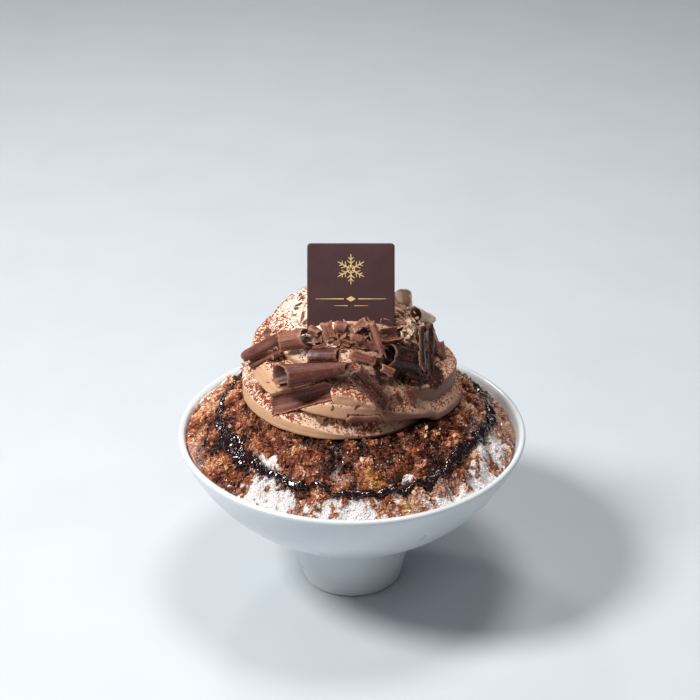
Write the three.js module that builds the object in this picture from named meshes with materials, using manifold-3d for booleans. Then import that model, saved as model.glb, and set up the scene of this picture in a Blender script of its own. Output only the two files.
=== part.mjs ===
// A bowl of kakigori: shaved ice heaped in a footed bowl, ringed with thick sauce and topped with a
// piped swirl of cream, a thin square plaque and a tumble of chocolate curls.
//
// Millimetres, +Z up, the front towards -Y. The origin is the centre of the foot, on the table.
// Azimuths are degrees about +Z from +X, so 270 is the front. A pair of numbers is a range.

import * as THREE from 'three';
import { mergeGeometries, mergeVertices } from 'three/addons/utils/BufferGeometryUtils.js';
import Module from 'manifold-3d';

// Clearance between neighbouring pieces, and the distance at which two vertices are one.
const GAP = 0.3;
const SAME_POINT = 1e-4;
const FRONT = 270;

// The bowl: a thin flared wall on a tapered foot, its belly rounded between the neck and the rim.
const RIM_RADIUS = 80;
const BOWL_HEIGHT = 80;
const WALL_AT_RIM = 2.6;
const WALL_AT_FOOT = 4;
const FLARE_DROP = 30.5;
const FLARE_INSET = 11.4;
const FOOT_RADIUS = 24;
const FOOT_EDGE = 2;
const NECK_RADIUS = 29.8;
const NECK_HEIGHT = 29;
const BELLY_REACH = 16.6;
const BELLY_RISE = 7.8;
const FOOT_RING_WIDTH = 5;
const FOOT_RECESS = 1.5;
const FLOOR_DISH = 0.8;
const BOWL_SIDES = 54;
const WALL_STEPS = 8;
const EDGE_STEPS = 3;
const LIP_ANGLES = [45, 90, 135];

// The heap of ice: steep flanks from the wall up to a flat seat for the cream. Its lumps die away at
// the two ends of the flank, which runs from 0 at the seat to 1 at the wall.
const SEAT_HEIGHT = 98;
const SEAT_RADIUS = 46;
const ICE_EDGE_HEIGHT = 76.3;
const ICE_EDGE_TILT = 1.3;
const ICE_BULGE = 1.8;
const ICE_LUMP = 1.1;
const LUMP_SIZE = 9;
const LUMP_WAVES = 9;
const LUMP_SEED = 11;
const LUMPS_BEGIN = [0.03, 0.15];
const LUMPS_END = [0.85, 1];
const WALL_CONTACT = 1;
const ICE_SIDES = 82;

// The ring of thick sauce, raised from the ice and broken here and there. Its radius is given every 30
// degrees. Its profile and its rings are in half widths from its middle.
const SAUCE_HALF_WIDTH = 3;
const SAUCE_HEIGHT = 1.5;
const SAUCE_RADII = [65, 62, 60.5, 60, 59, 58.5, 60, 62.5, 62.5, 64.5, 68, 63];
const SAUCE_SHOULDER = [0.4, 1.3];
const SAUCE_RINGS = [-1.8, -1, -0.5, 0.5, 1, 1.8];
const SAUCE_MARGIN = 2;
const BREAK_SIZE = 26;
const BREAK_WAVES = 5;
const BREAK_SEED = 23;
const BREAK_DEPTH = [-1.4, -0.4];
const INNER_RINGS = [0.33, 0.66];
const OUTER_RING = 0.45;

// The cream: one ribbon piped round and round, climbing from a tapered start at the front right. The
// mound that it covers leans back a little towards its tip. Where the second turn begins, at the
// right, the ribbon stands out in a lip.
const CREAM_X = -2;
const CREAM_Y = 1;
const CREAM_RADIUS = 42;
const CREAM_RISE = 43.5;
const CREAM_LEAN = 8;
const CREAM_TURNS = 3.25;
const CREAM_START = 322;
const FIRST_TURN_POWER = 0.5;
const ROLL_DEPTH = 6;
const TIP_DEPTH = 3;
const ROLL_COVER = 0.8;
const ROLL_ROUNDNESS = 0.65;
const FULL_HEIGHT = [0, 0.7];
const LIP_DEPTH = 4;
const LIP_AZIMUTH = 345;
const LIP_SPREAD = [0, 45];
const LIP_BEGIN = [0.6, 0.9];
const LIP_END = [1.1, 1.4];
const COLUMNS_PER_TURN = 48;
const ROWS_PER_ROLL = 6;

// The plaque, a square leaning back with its lower edge sunk in a collar of cream.
const PLAQUE_WIDTH = 38.5;
const PLAQUE_LENGTH = 39;
const PLAQUE_THICKNESS = 2.6;
const PLAQUE_CORNER = 1.6;
const PLAQUE_BEVEL = 0.4;
const PLAQUE_LEAN = 28;
const PLAQUE_FOOT = [-0.5, -13.7, 136.1];
const CORNER_STEPS = 3;
const COLLAR_HALF_SIZES = [19, 6, 5];
const COLLAR_SIDES = 16;

// The small broken chips pressed into the cream, most of them at the front.
const CHIP_COUNT = 36;
const CHIP_SEED = 5;
const CHIP_HEIGHTS = [104, 141];
const CHIP_HEIGHT_POWER = 0.7;
const CHIP_FRONT_POWER = 1.6;
const CHIP_SIDES = 4;
const CHIP_RADII = [1.4, 3];
const CHIP_WIDTH_RATIO = [0.45, 0.8];
const CHIP_TAPER = 0.9;
const CHIP_TILT = [-0.7, 0.7];
const CHIP_SINK = 0.3;

// The curls of chocolate. Each runs from one place on the mound to another, given as azimuth and
// height, with its ends lifted off the cream by the two lengths of `lift`. `radius` and `arc` are its
// bend, `taper` is the ratio of its two ends, and `roll` turns it about its own axis, 0 with its hollow
// side down. `cut` slants the first end, so that it opens away from the cream.
const SHEET = 1;
const USUAL_CURL = { roll: 0, taper: 0.9, cut: 0 };
const CURLS = [
  { from: [217, 130], to: [193, 117], lift: [5.2, 5.2], radius: 3.1, arc: 440, roll: 70, cut: -0.3 },
  { from: [220, 127.5], to: [192, 113.5], lift: [1.2, 1.2], radius: 1.2, arc: 330, taper: 1 },
  { from: [220, 129.5], to: [238, 133], lift: [5, 5.4], radius: 4, arc: 230, taper: 1 },
  { from: [241, 128.5], to: [264, 130], lift: [0.1, 0.5], radius: 4, arc: 160, roll: 25 },
  {
    from: [233, 120.5], to: [269, 126.5], lift: [8.6, 4.8],
    radius: 6.2, arc: 440, roll: 220, taper: 0.5, cut: 0.7,
  },
  { from: [224, 107.5], to: [260, 119], lift: [2.6, 2.6], radius: 4.6, arc: 150, roll: 180 },
  { from: [274, 125.5], to: [292, 112], lift: [3.8, 3.4], radius: 13, arc: 34, taper: 1 },
  { from: [281, 127.5], to: [298, 122], lift: [1.2, 0.2], radius: 7, arc: 30 },
  { from: [297, 128.5], to: [318, 123.5], lift: [4, 3], radius: 5.4, arc: 230 },
  { from: [353, 129], to: [326, 116], lift: [3.6, 2], radius: 6, arc: 46, roll: -20 },
  { from: [332, 131.5], to: [311, 121.5], lift: [7, 11.5], radius: 6, arc: 42, roll: 10, taper: 1 },
  { from: [344, 139], to: [343, 137.5], lift: [9, 4], radius: 3.6, arc: 220, taper: 0.7 },
  { from: [350, 134.5], to: [17, 124.5], lift: [1.5, 2.4], radius: 3.2, arc: 300, roll: 20, taper: 0.6 },
  { from: [250, 137.5], to: [256, 134.5], lift: [6.5, 4.5], radius: 8, arc: 38 },
  { from: [274, 136.5], to: [288, 138], lift: [5.6, 7], radius: 9, arc: 25, roll: 20, taper: 1 },
  { from: [290, 137], to: [292, 128], lift: [9, 8], radius: 1.3, arc: 200 },
  { from: [297, 134], to: [312, 133], lift: [6.8, 6.6], radius: 3, arc: 200, roll: 180, taper: 1 },
  { from: [265, 133], to: [289, 132], lift: [0.8, 0.8], radius: 1.3, arc: 300 },
  { from: [272, 130.5], to: [289, 128], lift: [4.4, 3.4], radius: 10, arc: 30, roll: 10 },
  { from: [270, 108.5], to: [288, 108], lift: [0.5, 0.5], radius: 1.4, arc: 240 },
  { from: [307, 116.5], to: [308, 110.5], lift: [2, 2], radius: 6, arc: 40, roll: -30, taper: 1 },
  { from: [298, 116], to: [303, 111], lift: [0.4, 0.4], radius: 7, arc: 36, roll: 20 },
  { from: [359, 120.5], to: [351, 113], lift: [2, 1], radius: 4.5, arc: 110 },
  { from: [237, 135.5], to: [246, 135], lift: [4.6, 4], radius: 2.1, arc: 230, roll: 30 },
  { from: [259, 137.5], to: [269, 137], lift: [5, 5], radius: 2.2, arc: 200 },
  { from: [272, 134.5], to: [281, 134], lift: [4.6, 4.2], radius: 2.2, arc: 260, roll: 90 },
  { from: [183, 126], to: [203, 131], lift: [1, 2], radius: 5, arc: 50 },
  { from: [290, 125.5], to: [297, 123], lift: [6.5, 6.5], radius: 4, arc: 60 },
];

// How a curl is shaped. Under the closed arc it is an open sheet. Past a full turn it winds inwards,
// with a space between its turns. Its ends are broken in waves, by a share of its length.
const CLOSED_ARC = 150;
const TURN_SPACE = 0.6;
const OPEN_ENDS = { depth: 0.04, waves: 7 };
const CLOSED_ENDS = { depth: 0.06, waves: 5 };
const BEND_STEP = 36;
const OPEN_STEPS = 4;
const LENGTH_STEPS = 3;
const BED_SIDES = 12;
const BED_LENGTH = 1.12;

const DEGREE = Math.PI / 180;
const TURN = Math.PI * 2;
const { lerp, smoothstep } = THREE.MathUtils;

const wasm = await Module();
wasm.setup();

// ---- Helpers ----

function within([low, high], t) {
  return lerp(low, high, t);
}

function rampOver([low, high], value) {
  return smoothstep(value, low, high);
}

function angularDistance(a, b) {
  return Math.abs(((a - b + 540) % 360) - 180);
}

function roundPoint(radius, azimuth, height) {
  const angle = azimuth * DEGREE;
  return new THREE.Vector3(radius * Math.cos(angle), radius * Math.sin(angle), height);
}

// Shared vertices are merged and triangles without area dropped, so that a closed surface stays closed.
function weld(geometry) {
  const bare = new THREE.BufferGeometry();
  bare.setAttribute('position', geometry.getAttribute('position'));
  if (geometry.index) bare.setIndex(geometry.index);
  const merged = mergeVertices(bare, SAME_POINT);
  const corners = merged.index.array;
  const kept = [];
  for (let i = 0; i < corners.length; i += 3) {
    const [a, b, c] = corners.slice(i, i + 3);
    if (a !== b && b !== c && c !== a) kept.push(a, b, c);
  }
  merged.setIndex(kept);
  return merged;
}

function joined(geometries) {
  return weld(mergeGeometries(geometries));
}

function toSolid(geometry) {
  const welded = weld(geometry);
  const vertProperties = Float32Array.from(welded.getAttribute('position').array);
  const triVerts = Uint32Array.from(welded.index.array);
  return new wasm.Manifold(new wasm.Mesh({ numProp: 3, vertProperties, triVerts }));
}

function toGeometry(solid) {
  const mesh = solid.getMesh();
  const geometry = new THREE.BufferGeometry();
  geometry.setAttribute('position', new THREE.BufferAttribute(Float32Array.from(mesh.vertProperties), 3));
  geometry.setIndex(Array.from(mesh.triVerts));
  return weld(geometry);
}

function largestBody(solid) {
  const bodies = solid.decompose();
  bodies.sort((a, b) => b.volume() - a.volume());
  return bodies[0];
}

// A surface through rows of points. With rows going up and points going round to the left, it faces out.
function gridGeometry(grid) {
  const columns = grid[0].length;
  const positions = grid.flat().flatMap((point) => point.toArray());
  const index = [];
  for (let i = 0; i + 1 < grid.length; i += 1) {
    for (let j = 0; j + 1 < columns; j += 1) {
      const a = i * columns + j;
      const b = a + columns;
      index.push(a, a + 1, b + 1, a, b + 1, b);
    }
  }
  const geometry = new THREE.BufferGeometry();
  geometry.setAttribute('position', new THREE.Float32BufferAttribute(positions, 3));
  geometry.setIndex(index);
  return geometry;
}

// A closed round body, from its lowest ring up. Each ring takes an azimuth and gives [radius, height].
function ringsGeometry(rings, sides) {
  const grid = rings.map((ring) => {
    const row = [];
    for (let j = 0; j <= sides; j += 1) {
      const azimuth = ((j % sides) * 360) / sides;
      const [radius, height] = ring(azimuth);
      row.push(roundPoint(radius, azimuth, height));
    }
    return row;
  });
  return gridGeometry(grid);
}

// A seeded random draw between 0 and 1, by the mulberry32 rule.
function seededRandom(seed) {
  let state = seed;
  return () => {
    state = (state + 0x6d2b79f5) | 0;
    let mixed = Math.imul(state ^ (state >>> 15), 1 | state);
    mixed = (mixed + Math.imul(mixed ^ (mixed >>> 7), 61 | mixed)) ^ mixed;
    return ((mixed ^ (mixed >>> 14)) >>> 0) / 2 ** 32;
  };
}

// Soft lumps of about one size, mostly between -1.5 and 1.5: a sum of waves in seeded directions.
function makeLumps(seed, size, count) {
  const random = seededRandom(seed);
  const waves = [];
  for (let i = 0; i < count; i += 1) {
    const heading = random() * TURN;
    const length = size * lerp(0.7, 1.5, random());
    waves.push([Math.cos(heading) / length, Math.sin(heading) / length, random()]);
  }
  return (x, y) => {
    let sum = 0;
    for (const [kx, ky, phase] of waves) sum += Math.sin(TURN * (kx * x + ky * y + phase));
    return sum / Math.sqrt(count);
  };
}

// ---- The bowl ----

// The outer face of the wall, from the neck up to the lip.
function wallCurve() {
  return new THREE.CubicBezierCurve(
    new THREE.Vector2(NECK_RADIUS, NECK_HEIGHT),
    new THREE.Vector2(NECK_RADIUS + BELLY_REACH, NECK_HEIGHT + BELLY_RISE),
    new THREE.Vector2(RIM_RADIUS - FLARE_INSET, BOWL_HEIGHT - FLARE_DROP),
    new THREE.Vector2(RIM_RADIUS, BOWL_HEIGHT - WALL_AT_RIM / 2),
  );
}

// The inner face of the wall, from the floor up, `inset` further in than the china.
function innerWall(inset) {
  const outer = wallCurve();
  const points = [];
  for (let i = 0; i <= WALL_STEPS; i += 1) {
    const t = i / WALL_STEPS;
    const along = outer.getTangent(t);
    const inward = new THREE.Vector2(-along.y, along.x);
    const thickness = lerp(WALL_AT_FOOT, WALL_AT_RIM, t) + inset;
    points.push(outer.getPoint(t).addScaledVector(inward, thickness));
  }
  return points;
}

const FLOOR_HEIGHT = innerWall(0)[0].y - FLOOR_DISH;

// The foot's underside from the middle out: a shallow recess, the ring that it stands on and its edge.
function footProfile() {
  const ringOuter = FOOT_RADIUS - FOOT_EDGE;
  const ringInner = ringOuter - FOOT_RING_WIDTH;
  const profile = [
    new THREE.Vector2(0, FOOT_RECESS),
    new THREE.Vector2(ringInner, FOOT_RECESS),
    new THREE.Vector2(ringInner + FOOT_RECESS / 2, 0),
  ];
  for (let i = 0; i <= EDGE_STEPS; i += 1) {
    const angle = (i / EDGE_STEPS) * (TURN / 4);
    const rise = FOOT_EDGE * (1 - Math.cos(angle));
    profile.push(new THREE.Vector2(ringOuter + FOOT_EDGE * Math.sin(angle), rise));
  }
  return profile;
}

function lipProfile() {
  const half = WALL_AT_RIM / 2;
  const middle = new THREE.Vector2(RIM_RADIUS - half, BOWL_HEIGHT - half);
  return LIP_ANGLES.map((angle) => {
    const outward = new THREE.Vector2(Math.cos(angle * DEGREE), Math.sin(angle * DEGREE));
    return middle.clone().addScaledVector(outward, half);
  });
}

function bowlGeometry() {
  const wall = wallCurve().getPoints(WALL_STEPS);
  const inside = [...innerWall(0).reverse(), new THREE.Vector2(0, FLOOR_HEIGHT)];
  const profile = [...footProfile(), ...wall, ...lipProfile(), ...inside];
  return new THREE.LatheGeometry(profile, BOWL_SIDES).rotateX(TURN / 4);
}

// ---- The ice and its sauce ----

const iceLumps = makeLumps(LUMP_SEED, LUMP_SIZE, LUMP_WAVES);
const sauceBreaks = makeLumps(BREAK_SEED, BREAK_SIZE, BREAK_WAVES);

// Where the ice meets the wall at a height.
function wallRadiusAt(height) {
  const points = innerWall(GAP);
  let i = 1;
  while (i + 1 < points.length && points[i].y < height) i += 1;
  const t = (height - points[i - 1].y) / (points[i].y - points[i - 1].y);
  return lerp(points[i - 1].x, points[i].x, t);
}

function iceEdgeHeight(azimuth) {
  return ICE_EDGE_HEIGHT - ICE_EDGE_TILT * Math.cos(azimuth * DEGREE);
}

function iceEdgeRadius(azimuth) {
  return wallRadiusAt(iceEdgeHeight(azimuth));
}

// A smooth closed curve through the sauce's radii, by the Catmull-Rom rule.
function sauceRadius(azimuth) {
  const count = SAUCE_RADII.length;
  const place = (azimuth / 360) * count;
  const i = Math.floor(place);
  const t = place - i;
  const [a, b, c, d] = [i - 1, i, i + 1, i + 2].map((k) => SAUCE_RADII[(k + count) % count]);
  return b + 0.5 * t * (c - a + t * (2 * a - 5 * b + 4 * c - d + t * (3 * (b - c) + d - a)));
}

function iceHeight(radius, azimuth) {
  if (radius <= SEAT_RADIUS) return SEAT_HEIGHT;
  const { x, y } = roundPoint(radius, azimuth, 0);
  const reach = (radius - SEAT_RADIUS) / (iceEdgeRadius(azimuth) - SEAT_RADIUS);
  const flank = lerp(SEAT_HEIGHT, iceEdgeHeight(azimuth), reach) + ICE_BULGE * Math.sin(Math.PI * reach);
  const across = Math.abs(radius - sauceRadius(azimuth)) / SAUCE_HALF_WIDTH;
  const whole = rampOver(BREAK_DEPTH, sauceBreaks(x, y));
  const sauce = SAUCE_HEIGHT * whole * (1 - rampOver(SAUCE_SHOULDER, across));
  const fade = rampOver(LUMPS_BEGIN, reach) * (1 - rampOver(LUMPS_END, reach));
  return flank + fade * (ICE_LUMP * iceLumps(x, y) + sauce);
}

function iceGeometry() {
  const margin = SAUCE_MARGIN * SAUCE_HALF_WIDTH;
  const seatRings = [0, SEAT_RADIUS / 2, SEAT_RADIUS].map((radius) => () => radius);
  const innerRings = INNER_RINGS.map(
    (t) => (azimuth) => lerp(SEAT_RADIUS, sauceRadius(azimuth) - margin, t),
  );
  const sauceRings = SAUCE_RINGS.map((t) => (azimuth) => sauceRadius(azimuth) + t * SAUCE_HALF_WIDTH);
  const outerRing = (azimuth) => lerp(sauceRadius(azimuth) + margin, iceEdgeRadius(azimuth), OUTER_RING);
  const top = [...seatRings, ...innerRings, ...sauceRings, outerRing, iceEdgeRadius].map(
    (radiusAt) => (azimuth) => [radiusAt(azimuth), iceHeight(radiusAt(azimuth), azimuth)],
  );
  const lowestEdge = ICE_EDGE_HEIGHT - ICE_EDGE_TILT;
  const buried = innerWall(GAP).filter((point) => point.y < lowestEdge - WALL_CONTACT);
  const under = buried.map((point) => () => [point.x, point.y]);
  const bottom = () => [0, FLOOR_HEIGHT + GAP];
  return ringsGeometry([bottom, ...under, ...top.reverse()], ICE_SIDES);
}

// ---- The cream ----

const CREAM_BASE = SEAT_HEIGHT + GAP;

// The mound that the ribbon covers: a half ellipsoid, from its base (0) to its tip (1).
function moundPoint(up, azimuth) {
  const angle = (up * TURN) / 4;
  const rise = Math.sin(angle);
  const point = roundPoint(CREAM_RADIUS * Math.cos(angle), azimuth, CREAM_BASE + CREAM_RISE * rise);
  return point.add(new THREE.Vector3(CREAM_X, CREAM_Y + CREAM_LEAN * rise, 0));
}

function moundNormal(up, azimuth) {
  const angle = (up * TURN) / 4;
  return roundPoint(Math.cos(angle) / CREAM_RADIUS, azimuth, Math.sin(angle) / CREAM_RISE).normalize();
}

// How far up the mound the crease above the ribbon lies after `turns` turns.
function creaseUp(turns) {
  if (turns <= 0) return 0;
  if (turns < 1) return turns ** FIRST_TURN_POWER / CREAM_TURNS;
  return Math.min(1, turns / CREAM_TURNS);
}

function lipDepth(turns, azimuth) {
  const nearness = 1 - rampOver(LIP_SPREAD, angularDistance(azimuth, LIP_AZIMUTH));
  return LIP_DEPTH * nearness * rampOver(LIP_BEGIN, turns) * (1 - rampOver(LIP_END, turns));
}

// A point on the ribbon: `across` is 0 at its lower crease and 1 at its upper one.
function ribbonPoint(turns, across) {
  const azimuth = CREAM_START - 360 * (turns % 1);
  const low = creaseUp(turns - 1);
  const high = creaseUp(turns);
  const up = lerp(low, high, across);
  const fullness = rampOver(FULL_HEIGHT, (high - low) * CREAM_TURNS);
  const depth = (lerp(ROLL_DEPTH, TIP_DEPTH, up) + lipDepth(turns, azimuth)) * fullness;
  const bulge = Math.sin(Math.PI * across ** ROLL_ROUNDNESS) ** ROLL_ROUNDNESS;
  return moundPoint(up, azimuth).addScaledVector(moundNormal(up, azimuth), depth * bulge);
}

function swirlGeometry() {
  const steps = Math.round((CREAM_TURNS + 1) * COLUMNS_PER_TURN);
  const grid = [];
  for (let i = ROWS_PER_ROLL; i >= 0; i -= 1) {
    const row = [];
    for (let j = 0; j <= steps; j += 1) row.push(ribbonPoint(j / COLUMNS_PER_TURN, i / ROWS_PER_ROLL));
    grid.push(row);
  }
  return gridGeometry(grid);
}

// The flat underside that rests on the ice.
function seatGeometry() {
  const rim = [];
  const centre = [];
  for (let j = 0; j <= COLUMNS_PER_TURN; j += 1) {
    rim.push(ribbonPoint(j / COLUMNS_PER_TURN, 0));
    centre.push(new THREE.Vector3(CREAM_X, CREAM_Y, CREAM_BASE));
  }
  return gridGeometry([rim, centre]);
}

function collarGeometry() {
  const collar = new THREE.SphereGeometry(1, COLLAR_SIDES, COLLAR_SIDES / 2);
  return collar.scale(...COLLAR_HALF_SIZES).translate(...PLAQUE_FOOT);
}

// The place on the outside of the mound at an azimuth and a height, and the way out from it.
function mountedAt([azimuth, height], lift) {
  const rise = Math.min(1, (height - CREAM_BASE) / (CREAM_RISE + TIP_DEPTH));
  const up = Math.asin(rise) / (TURN / 4);
  const outward = moundNormal(up, azimuth);
  const cover = ROLL_COVER * lerp(ROLL_DEPTH, TIP_DEPTH, up);
  return { point: moundPoint(up, azimuth).addScaledVector(outward, cover + lift), outward };
}

function chipGeometry(random) {
  const swing = random() * 2 - 1;
  const azimuth = FRONT + 180 * Math.sign(swing) * Math.abs(swing) ** CHIP_FRONT_POWER;
  const height = within(CHIP_HEIGHTS, random() ** CHIP_HEIGHT_POWER);
  const { point, outward } = mountedAt([azimuth, height], -CHIP_SINK);
  const radius = within(CHIP_RADII, random());
  const sides = CHIP_SIDES + Math.round(random());
  const geometry = new THREE.CylinderGeometry(radius * CHIP_TAPER, radius, SHEET, sides);
  geometry.scale(1, 1, within(CHIP_WIDTH_RATIO, random()));
  geometry.rotateX(within(CHIP_TILT, random()));
  geometry.rotateY(random() * TURN);
  geometry.applyQuaternion(new THREE.Quaternion().setFromUnitVectors(THREE.Object3D.DEFAULT_UP, outward));
  return geometry.translate(point.x, point.y, point.z);
}

// The swirl with its collar and chips, less the beds that the curls and the plaque press into it.
function creamGeometry() {
  const random = seededRandom(CHIP_SEED);
  let cream = toSolid(joined([swirlGeometry(), seatGeometry()])).add(toSolid(collarGeometry()));
  for (let i = 0; i < CHIP_COUNT; i += 1) cream = cream.add(toSolid(chipGeometry(random)));
  curls.forEach((curl, number) => {
    cream = cream.subtract(toSolid(bedGeometry(curl, number)));
  });
  cream = cream.subtract(toSolid(plaqueGeometry(GAP)));
  return toGeometry(largestBody(cream));
}

// ---- The plaque ----

// `extra` makes it larger all round, for the slot that it stands in.
function plaqueGeometry(extra) {
  const corner = PLAQUE_CORNER;
  const right = PLAQUE_WIDTH / 2 - PLAQUE_BEVEL + extra - corner;
  const bottom = PLAQUE_BEVEL - extra + corner;
  const top = PLAQUE_LENGTH - PLAQUE_BEVEL + extra - corner;
  const outline = new THREE.Shape();
  outline.moveTo(-right, bottom - corner);
  outline.absarc(right, bottom, corner, -Math.PI / 2, 0);
  outline.absarc(right, top, corner, 0, Math.PI / 2);
  outline.absarc(-right, top, corner, Math.PI / 2, Math.PI);
  outline.absarc(-right, bottom, corner, Math.PI, Math.PI * 1.5);
  const depth = PLAQUE_THICKNESS - 2 * PLAQUE_BEVEL + 2 * extra;
  const geometry = new THREE.ExtrudeGeometry(outline, {
    depth,
    curveSegments: CORNER_STEPS,
    bevelThickness: PLAQUE_BEVEL,
    bevelSize: PLAQUE_BEVEL,
    bevelSegments: 1,
  });
  geometry.translate(0, 0, -depth / 2);
  geometry.rotateX((90 - PLAQUE_LEAN) * DEGREE);
  return geometry.translate(...PLAQUE_FOOT);
}

// ---- The curls ----

const curls = CURLS.map((curl) => ({ ...USUAL_CURL, ...curl }));

// The curl's length, and where a point of it lies: `x` along it, at a radius and a bend round its axis.
function curlFrame(curl) {
  const start = mountedAt(curl.from, curl.lift[0]);
  const end = mountedAt(curl.to, curl.lift[1]);
  const middle = start.point.clone().lerp(end.point, 0.5);
  const along = end.point.clone().sub(start.point);
  const length = along.length();
  along.normalize();
  const side = new THREE.Vector3().crossVectors(start.outward.add(end.outward), along).normalize();
  const away = new THREE.Vector3().crossVectors(along, side);
  const place = (x, radius, bend) => {
    const point = middle.clone().addScaledVector(along, x);
    point.addScaledVector(side, radius * Math.sin(bend));
    return point.addScaledVector(away, radius * Math.cos(bend));
  };
  return { length, place };
}

// A closed tube with flat ends. `section` lists the places round it, its outer half first, and `point`
// puts one of them at a fraction of the length.
function closedTube(section, steps, point) {
  const wall = [];
  for (let i = steps; i >= 0; i -= 1) wall.push(section.map((at) => point(i / steps, at)));
  const half = Math.floor(section.length / 2);
  const ends = [0, 1].map((u) => {
    const outer = section.slice(0, half).map((at) => point(u, at));
    const inner = section.slice(half, -1).reverse().map((at) => point(u, at));
    return gridGeometry(u ? [inner, outer] : [outer, inner]);
  });
  return joined([gridGeometry(wall), ...ends]);
}

// The places round a bent sheet, as [how far round, offset]: along its outer face and back along the
// inner one.
function sheetSection(steps, half) {
  const outer = [];
  for (let j = 0; j <= steps; j += 1) outer.push([j / steps, half]);
  const inner = outer.map(([round]) => [round, -half]).reverse();
  return [...outer, ...inner, outer[0]];
}

// A bent sheet of chocolate. An open one is centred on its axis, and a closed one winds round it.
function curlGeometry(curl, number, extra) {
  const { length, place } = curlFrame(curl);
  const open = curl.arc < CLOSED_ARC;
  const ends = open ? OPEN_ENDS : CLOSED_ENDS;
  const steps = open ? OPEN_STEPS : Math.ceil(curl.arc / BEND_STEP);
  const winding = curl.arc > 360 ? (curl.arc / 360) * (SHEET + TURN_SPACE) : 0;
  const arc = curl.arc * DEGREE + (2 * extra) / curl.radius;
  const roll = curl.roll * DEGREE;
  const centring = open ? (curl.radius * (1 + Math.cos((curl.arc / 2) * DEGREE))) / 2 : 0;
  const shift = place(0, centring, roll).sub(place(0, 0, 0));
  return closedTube(sheetSection(steps, SHEET / 2 + extra), LENGTH_STEPS, (u, [round, offset]) => {
    const radius = curl.radius * lerp(1, curl.taper, u) - winding * round + offset;
    const bend = (round - 0.5) * arc + roll;
    const broken = length * ends.depth * Math.sin(ends.waves * round + number) * (2 * u - 1);
    const slant = curl.cut * radius * Math.cos(bend) * (1 - u);
    const x = (length + 2 * extra) * (u - 0.5) + broken + slant;
    return place(x, radius, bend).sub(shift);
  });
}

// What a curl presses out of the cream: a sheet a little larger, or the whole round of a closed one.
function bedGeometry(curl, number) {
  if (curl.arc < CLOSED_ARC) return curlGeometry(curl, number, GAP);
  const { length, place } = curlFrame(curl);
  const section = [];
  for (let j = 0; j <= BED_SIDES; j += 1) section.push(((j % BED_SIDES) + 0.5) * (TURN / BED_SIDES));
  return closedTube(section, 1, (u, bend) => {
    const radius = curl.radius * lerp(1, curl.taper, u) + SHEET / 2 + GAP;
    return place((length * BED_LENGTH + 2 * GAP) * (u - 0.5), radius, bend);
  });
}

// ---- The whole ----

function finish(color, roughness) {
  return new THREE.MeshStandardMaterial({ color, roughness, metalness: 0 });
}

function piece(name, geometry, material) {
  const mesh = new THREE.Mesh(geometry, material);
  mesh.name = name;
  return mesh;
}

const china = finish(0xe6e8ea, 0.25);
const syrupedIce = finish(0x8a5a3c, 0.45);
const whippedCream = finish(0xcda582, 0.6);
const darkPlaque = finish(0x50343a, 0.4);
const chocolate = finish(0x55322d, 0.5);

const kakigori = new THREE.Group();
kakigori.add(piece('bowl', bowlGeometry(), china));
kakigori.add(piece('shaved_ice', iceGeometry(), syrupedIce));
kakigori.add(piece('cream', creamGeometry(), whippedCream));
kakigori.add(piece('plaque', plaqueGeometry(0), darkPlaque));
curls.forEach((curl, number) => {
  const name = `curl_${String(number + 1).padStart(2, '0')}`;
  kakigori.add(piece(name, curlGeometry(curl, number, 0), chocolate));
});

export default kakigori;
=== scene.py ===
# %% [markdown]
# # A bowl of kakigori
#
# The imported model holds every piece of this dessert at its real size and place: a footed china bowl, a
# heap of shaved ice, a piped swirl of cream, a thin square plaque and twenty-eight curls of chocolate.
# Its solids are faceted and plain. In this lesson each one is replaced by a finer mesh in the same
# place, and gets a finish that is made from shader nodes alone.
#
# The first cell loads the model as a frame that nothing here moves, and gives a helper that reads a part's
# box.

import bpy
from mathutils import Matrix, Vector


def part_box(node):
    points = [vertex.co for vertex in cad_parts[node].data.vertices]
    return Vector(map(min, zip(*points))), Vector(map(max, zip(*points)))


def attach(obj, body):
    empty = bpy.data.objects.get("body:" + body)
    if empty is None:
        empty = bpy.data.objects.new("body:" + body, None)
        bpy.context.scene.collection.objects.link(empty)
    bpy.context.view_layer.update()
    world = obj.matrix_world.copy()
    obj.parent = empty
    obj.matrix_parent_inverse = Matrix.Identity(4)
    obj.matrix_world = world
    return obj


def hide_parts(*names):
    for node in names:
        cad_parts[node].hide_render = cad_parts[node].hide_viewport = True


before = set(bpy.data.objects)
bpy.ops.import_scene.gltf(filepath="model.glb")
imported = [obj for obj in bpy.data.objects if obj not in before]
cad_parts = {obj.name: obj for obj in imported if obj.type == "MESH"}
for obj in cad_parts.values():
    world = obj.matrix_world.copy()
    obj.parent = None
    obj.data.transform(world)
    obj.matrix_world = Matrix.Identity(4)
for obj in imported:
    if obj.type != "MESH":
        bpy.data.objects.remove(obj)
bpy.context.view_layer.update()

# %% [markdown]
# ## Measures
#
# Food is easier to think of in millimetres, so the shapes are worked out in them, and the helper that
# makes a mesh turns them into Blender's metres. A place round the bowl is an azimuth in degrees: 0 is the
# right, 90 the back, 180 the left and 270 the front.
#
# The shapes are worked out with numpy, on whole arrays of points at once. A Python loop over the points
# would read as well, but the hundred thousand grains of ice further down would take it minutes.

# %% Measures, ramps and places round the bowl
import math
from itertools import product

import bmesh
import bpy
import numpy as np
from mathutils import Vector
from mathutils.kdtree import KDTree

MM = 0.001
FRONT = 270


def lerp(low, high, t):
    return low + (high - low) * t


def ramp(low, high, value):
    """0 below `low` and 1 above `high`, with a smooth climb between them."""
    t = np.clip((value - low) / (high - low), 0.0, 1.0)
    return t * t * (3.0 - 2.0 * t)


def round_point(radius, azimuth, height):
    angle = np.radians(azimuth)
    x, y, z = np.broadcast_arrays(radius * np.cos(angle), radius * np.sin(angle), height)
    return np.stack([x, y, z], axis=-1)


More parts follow.
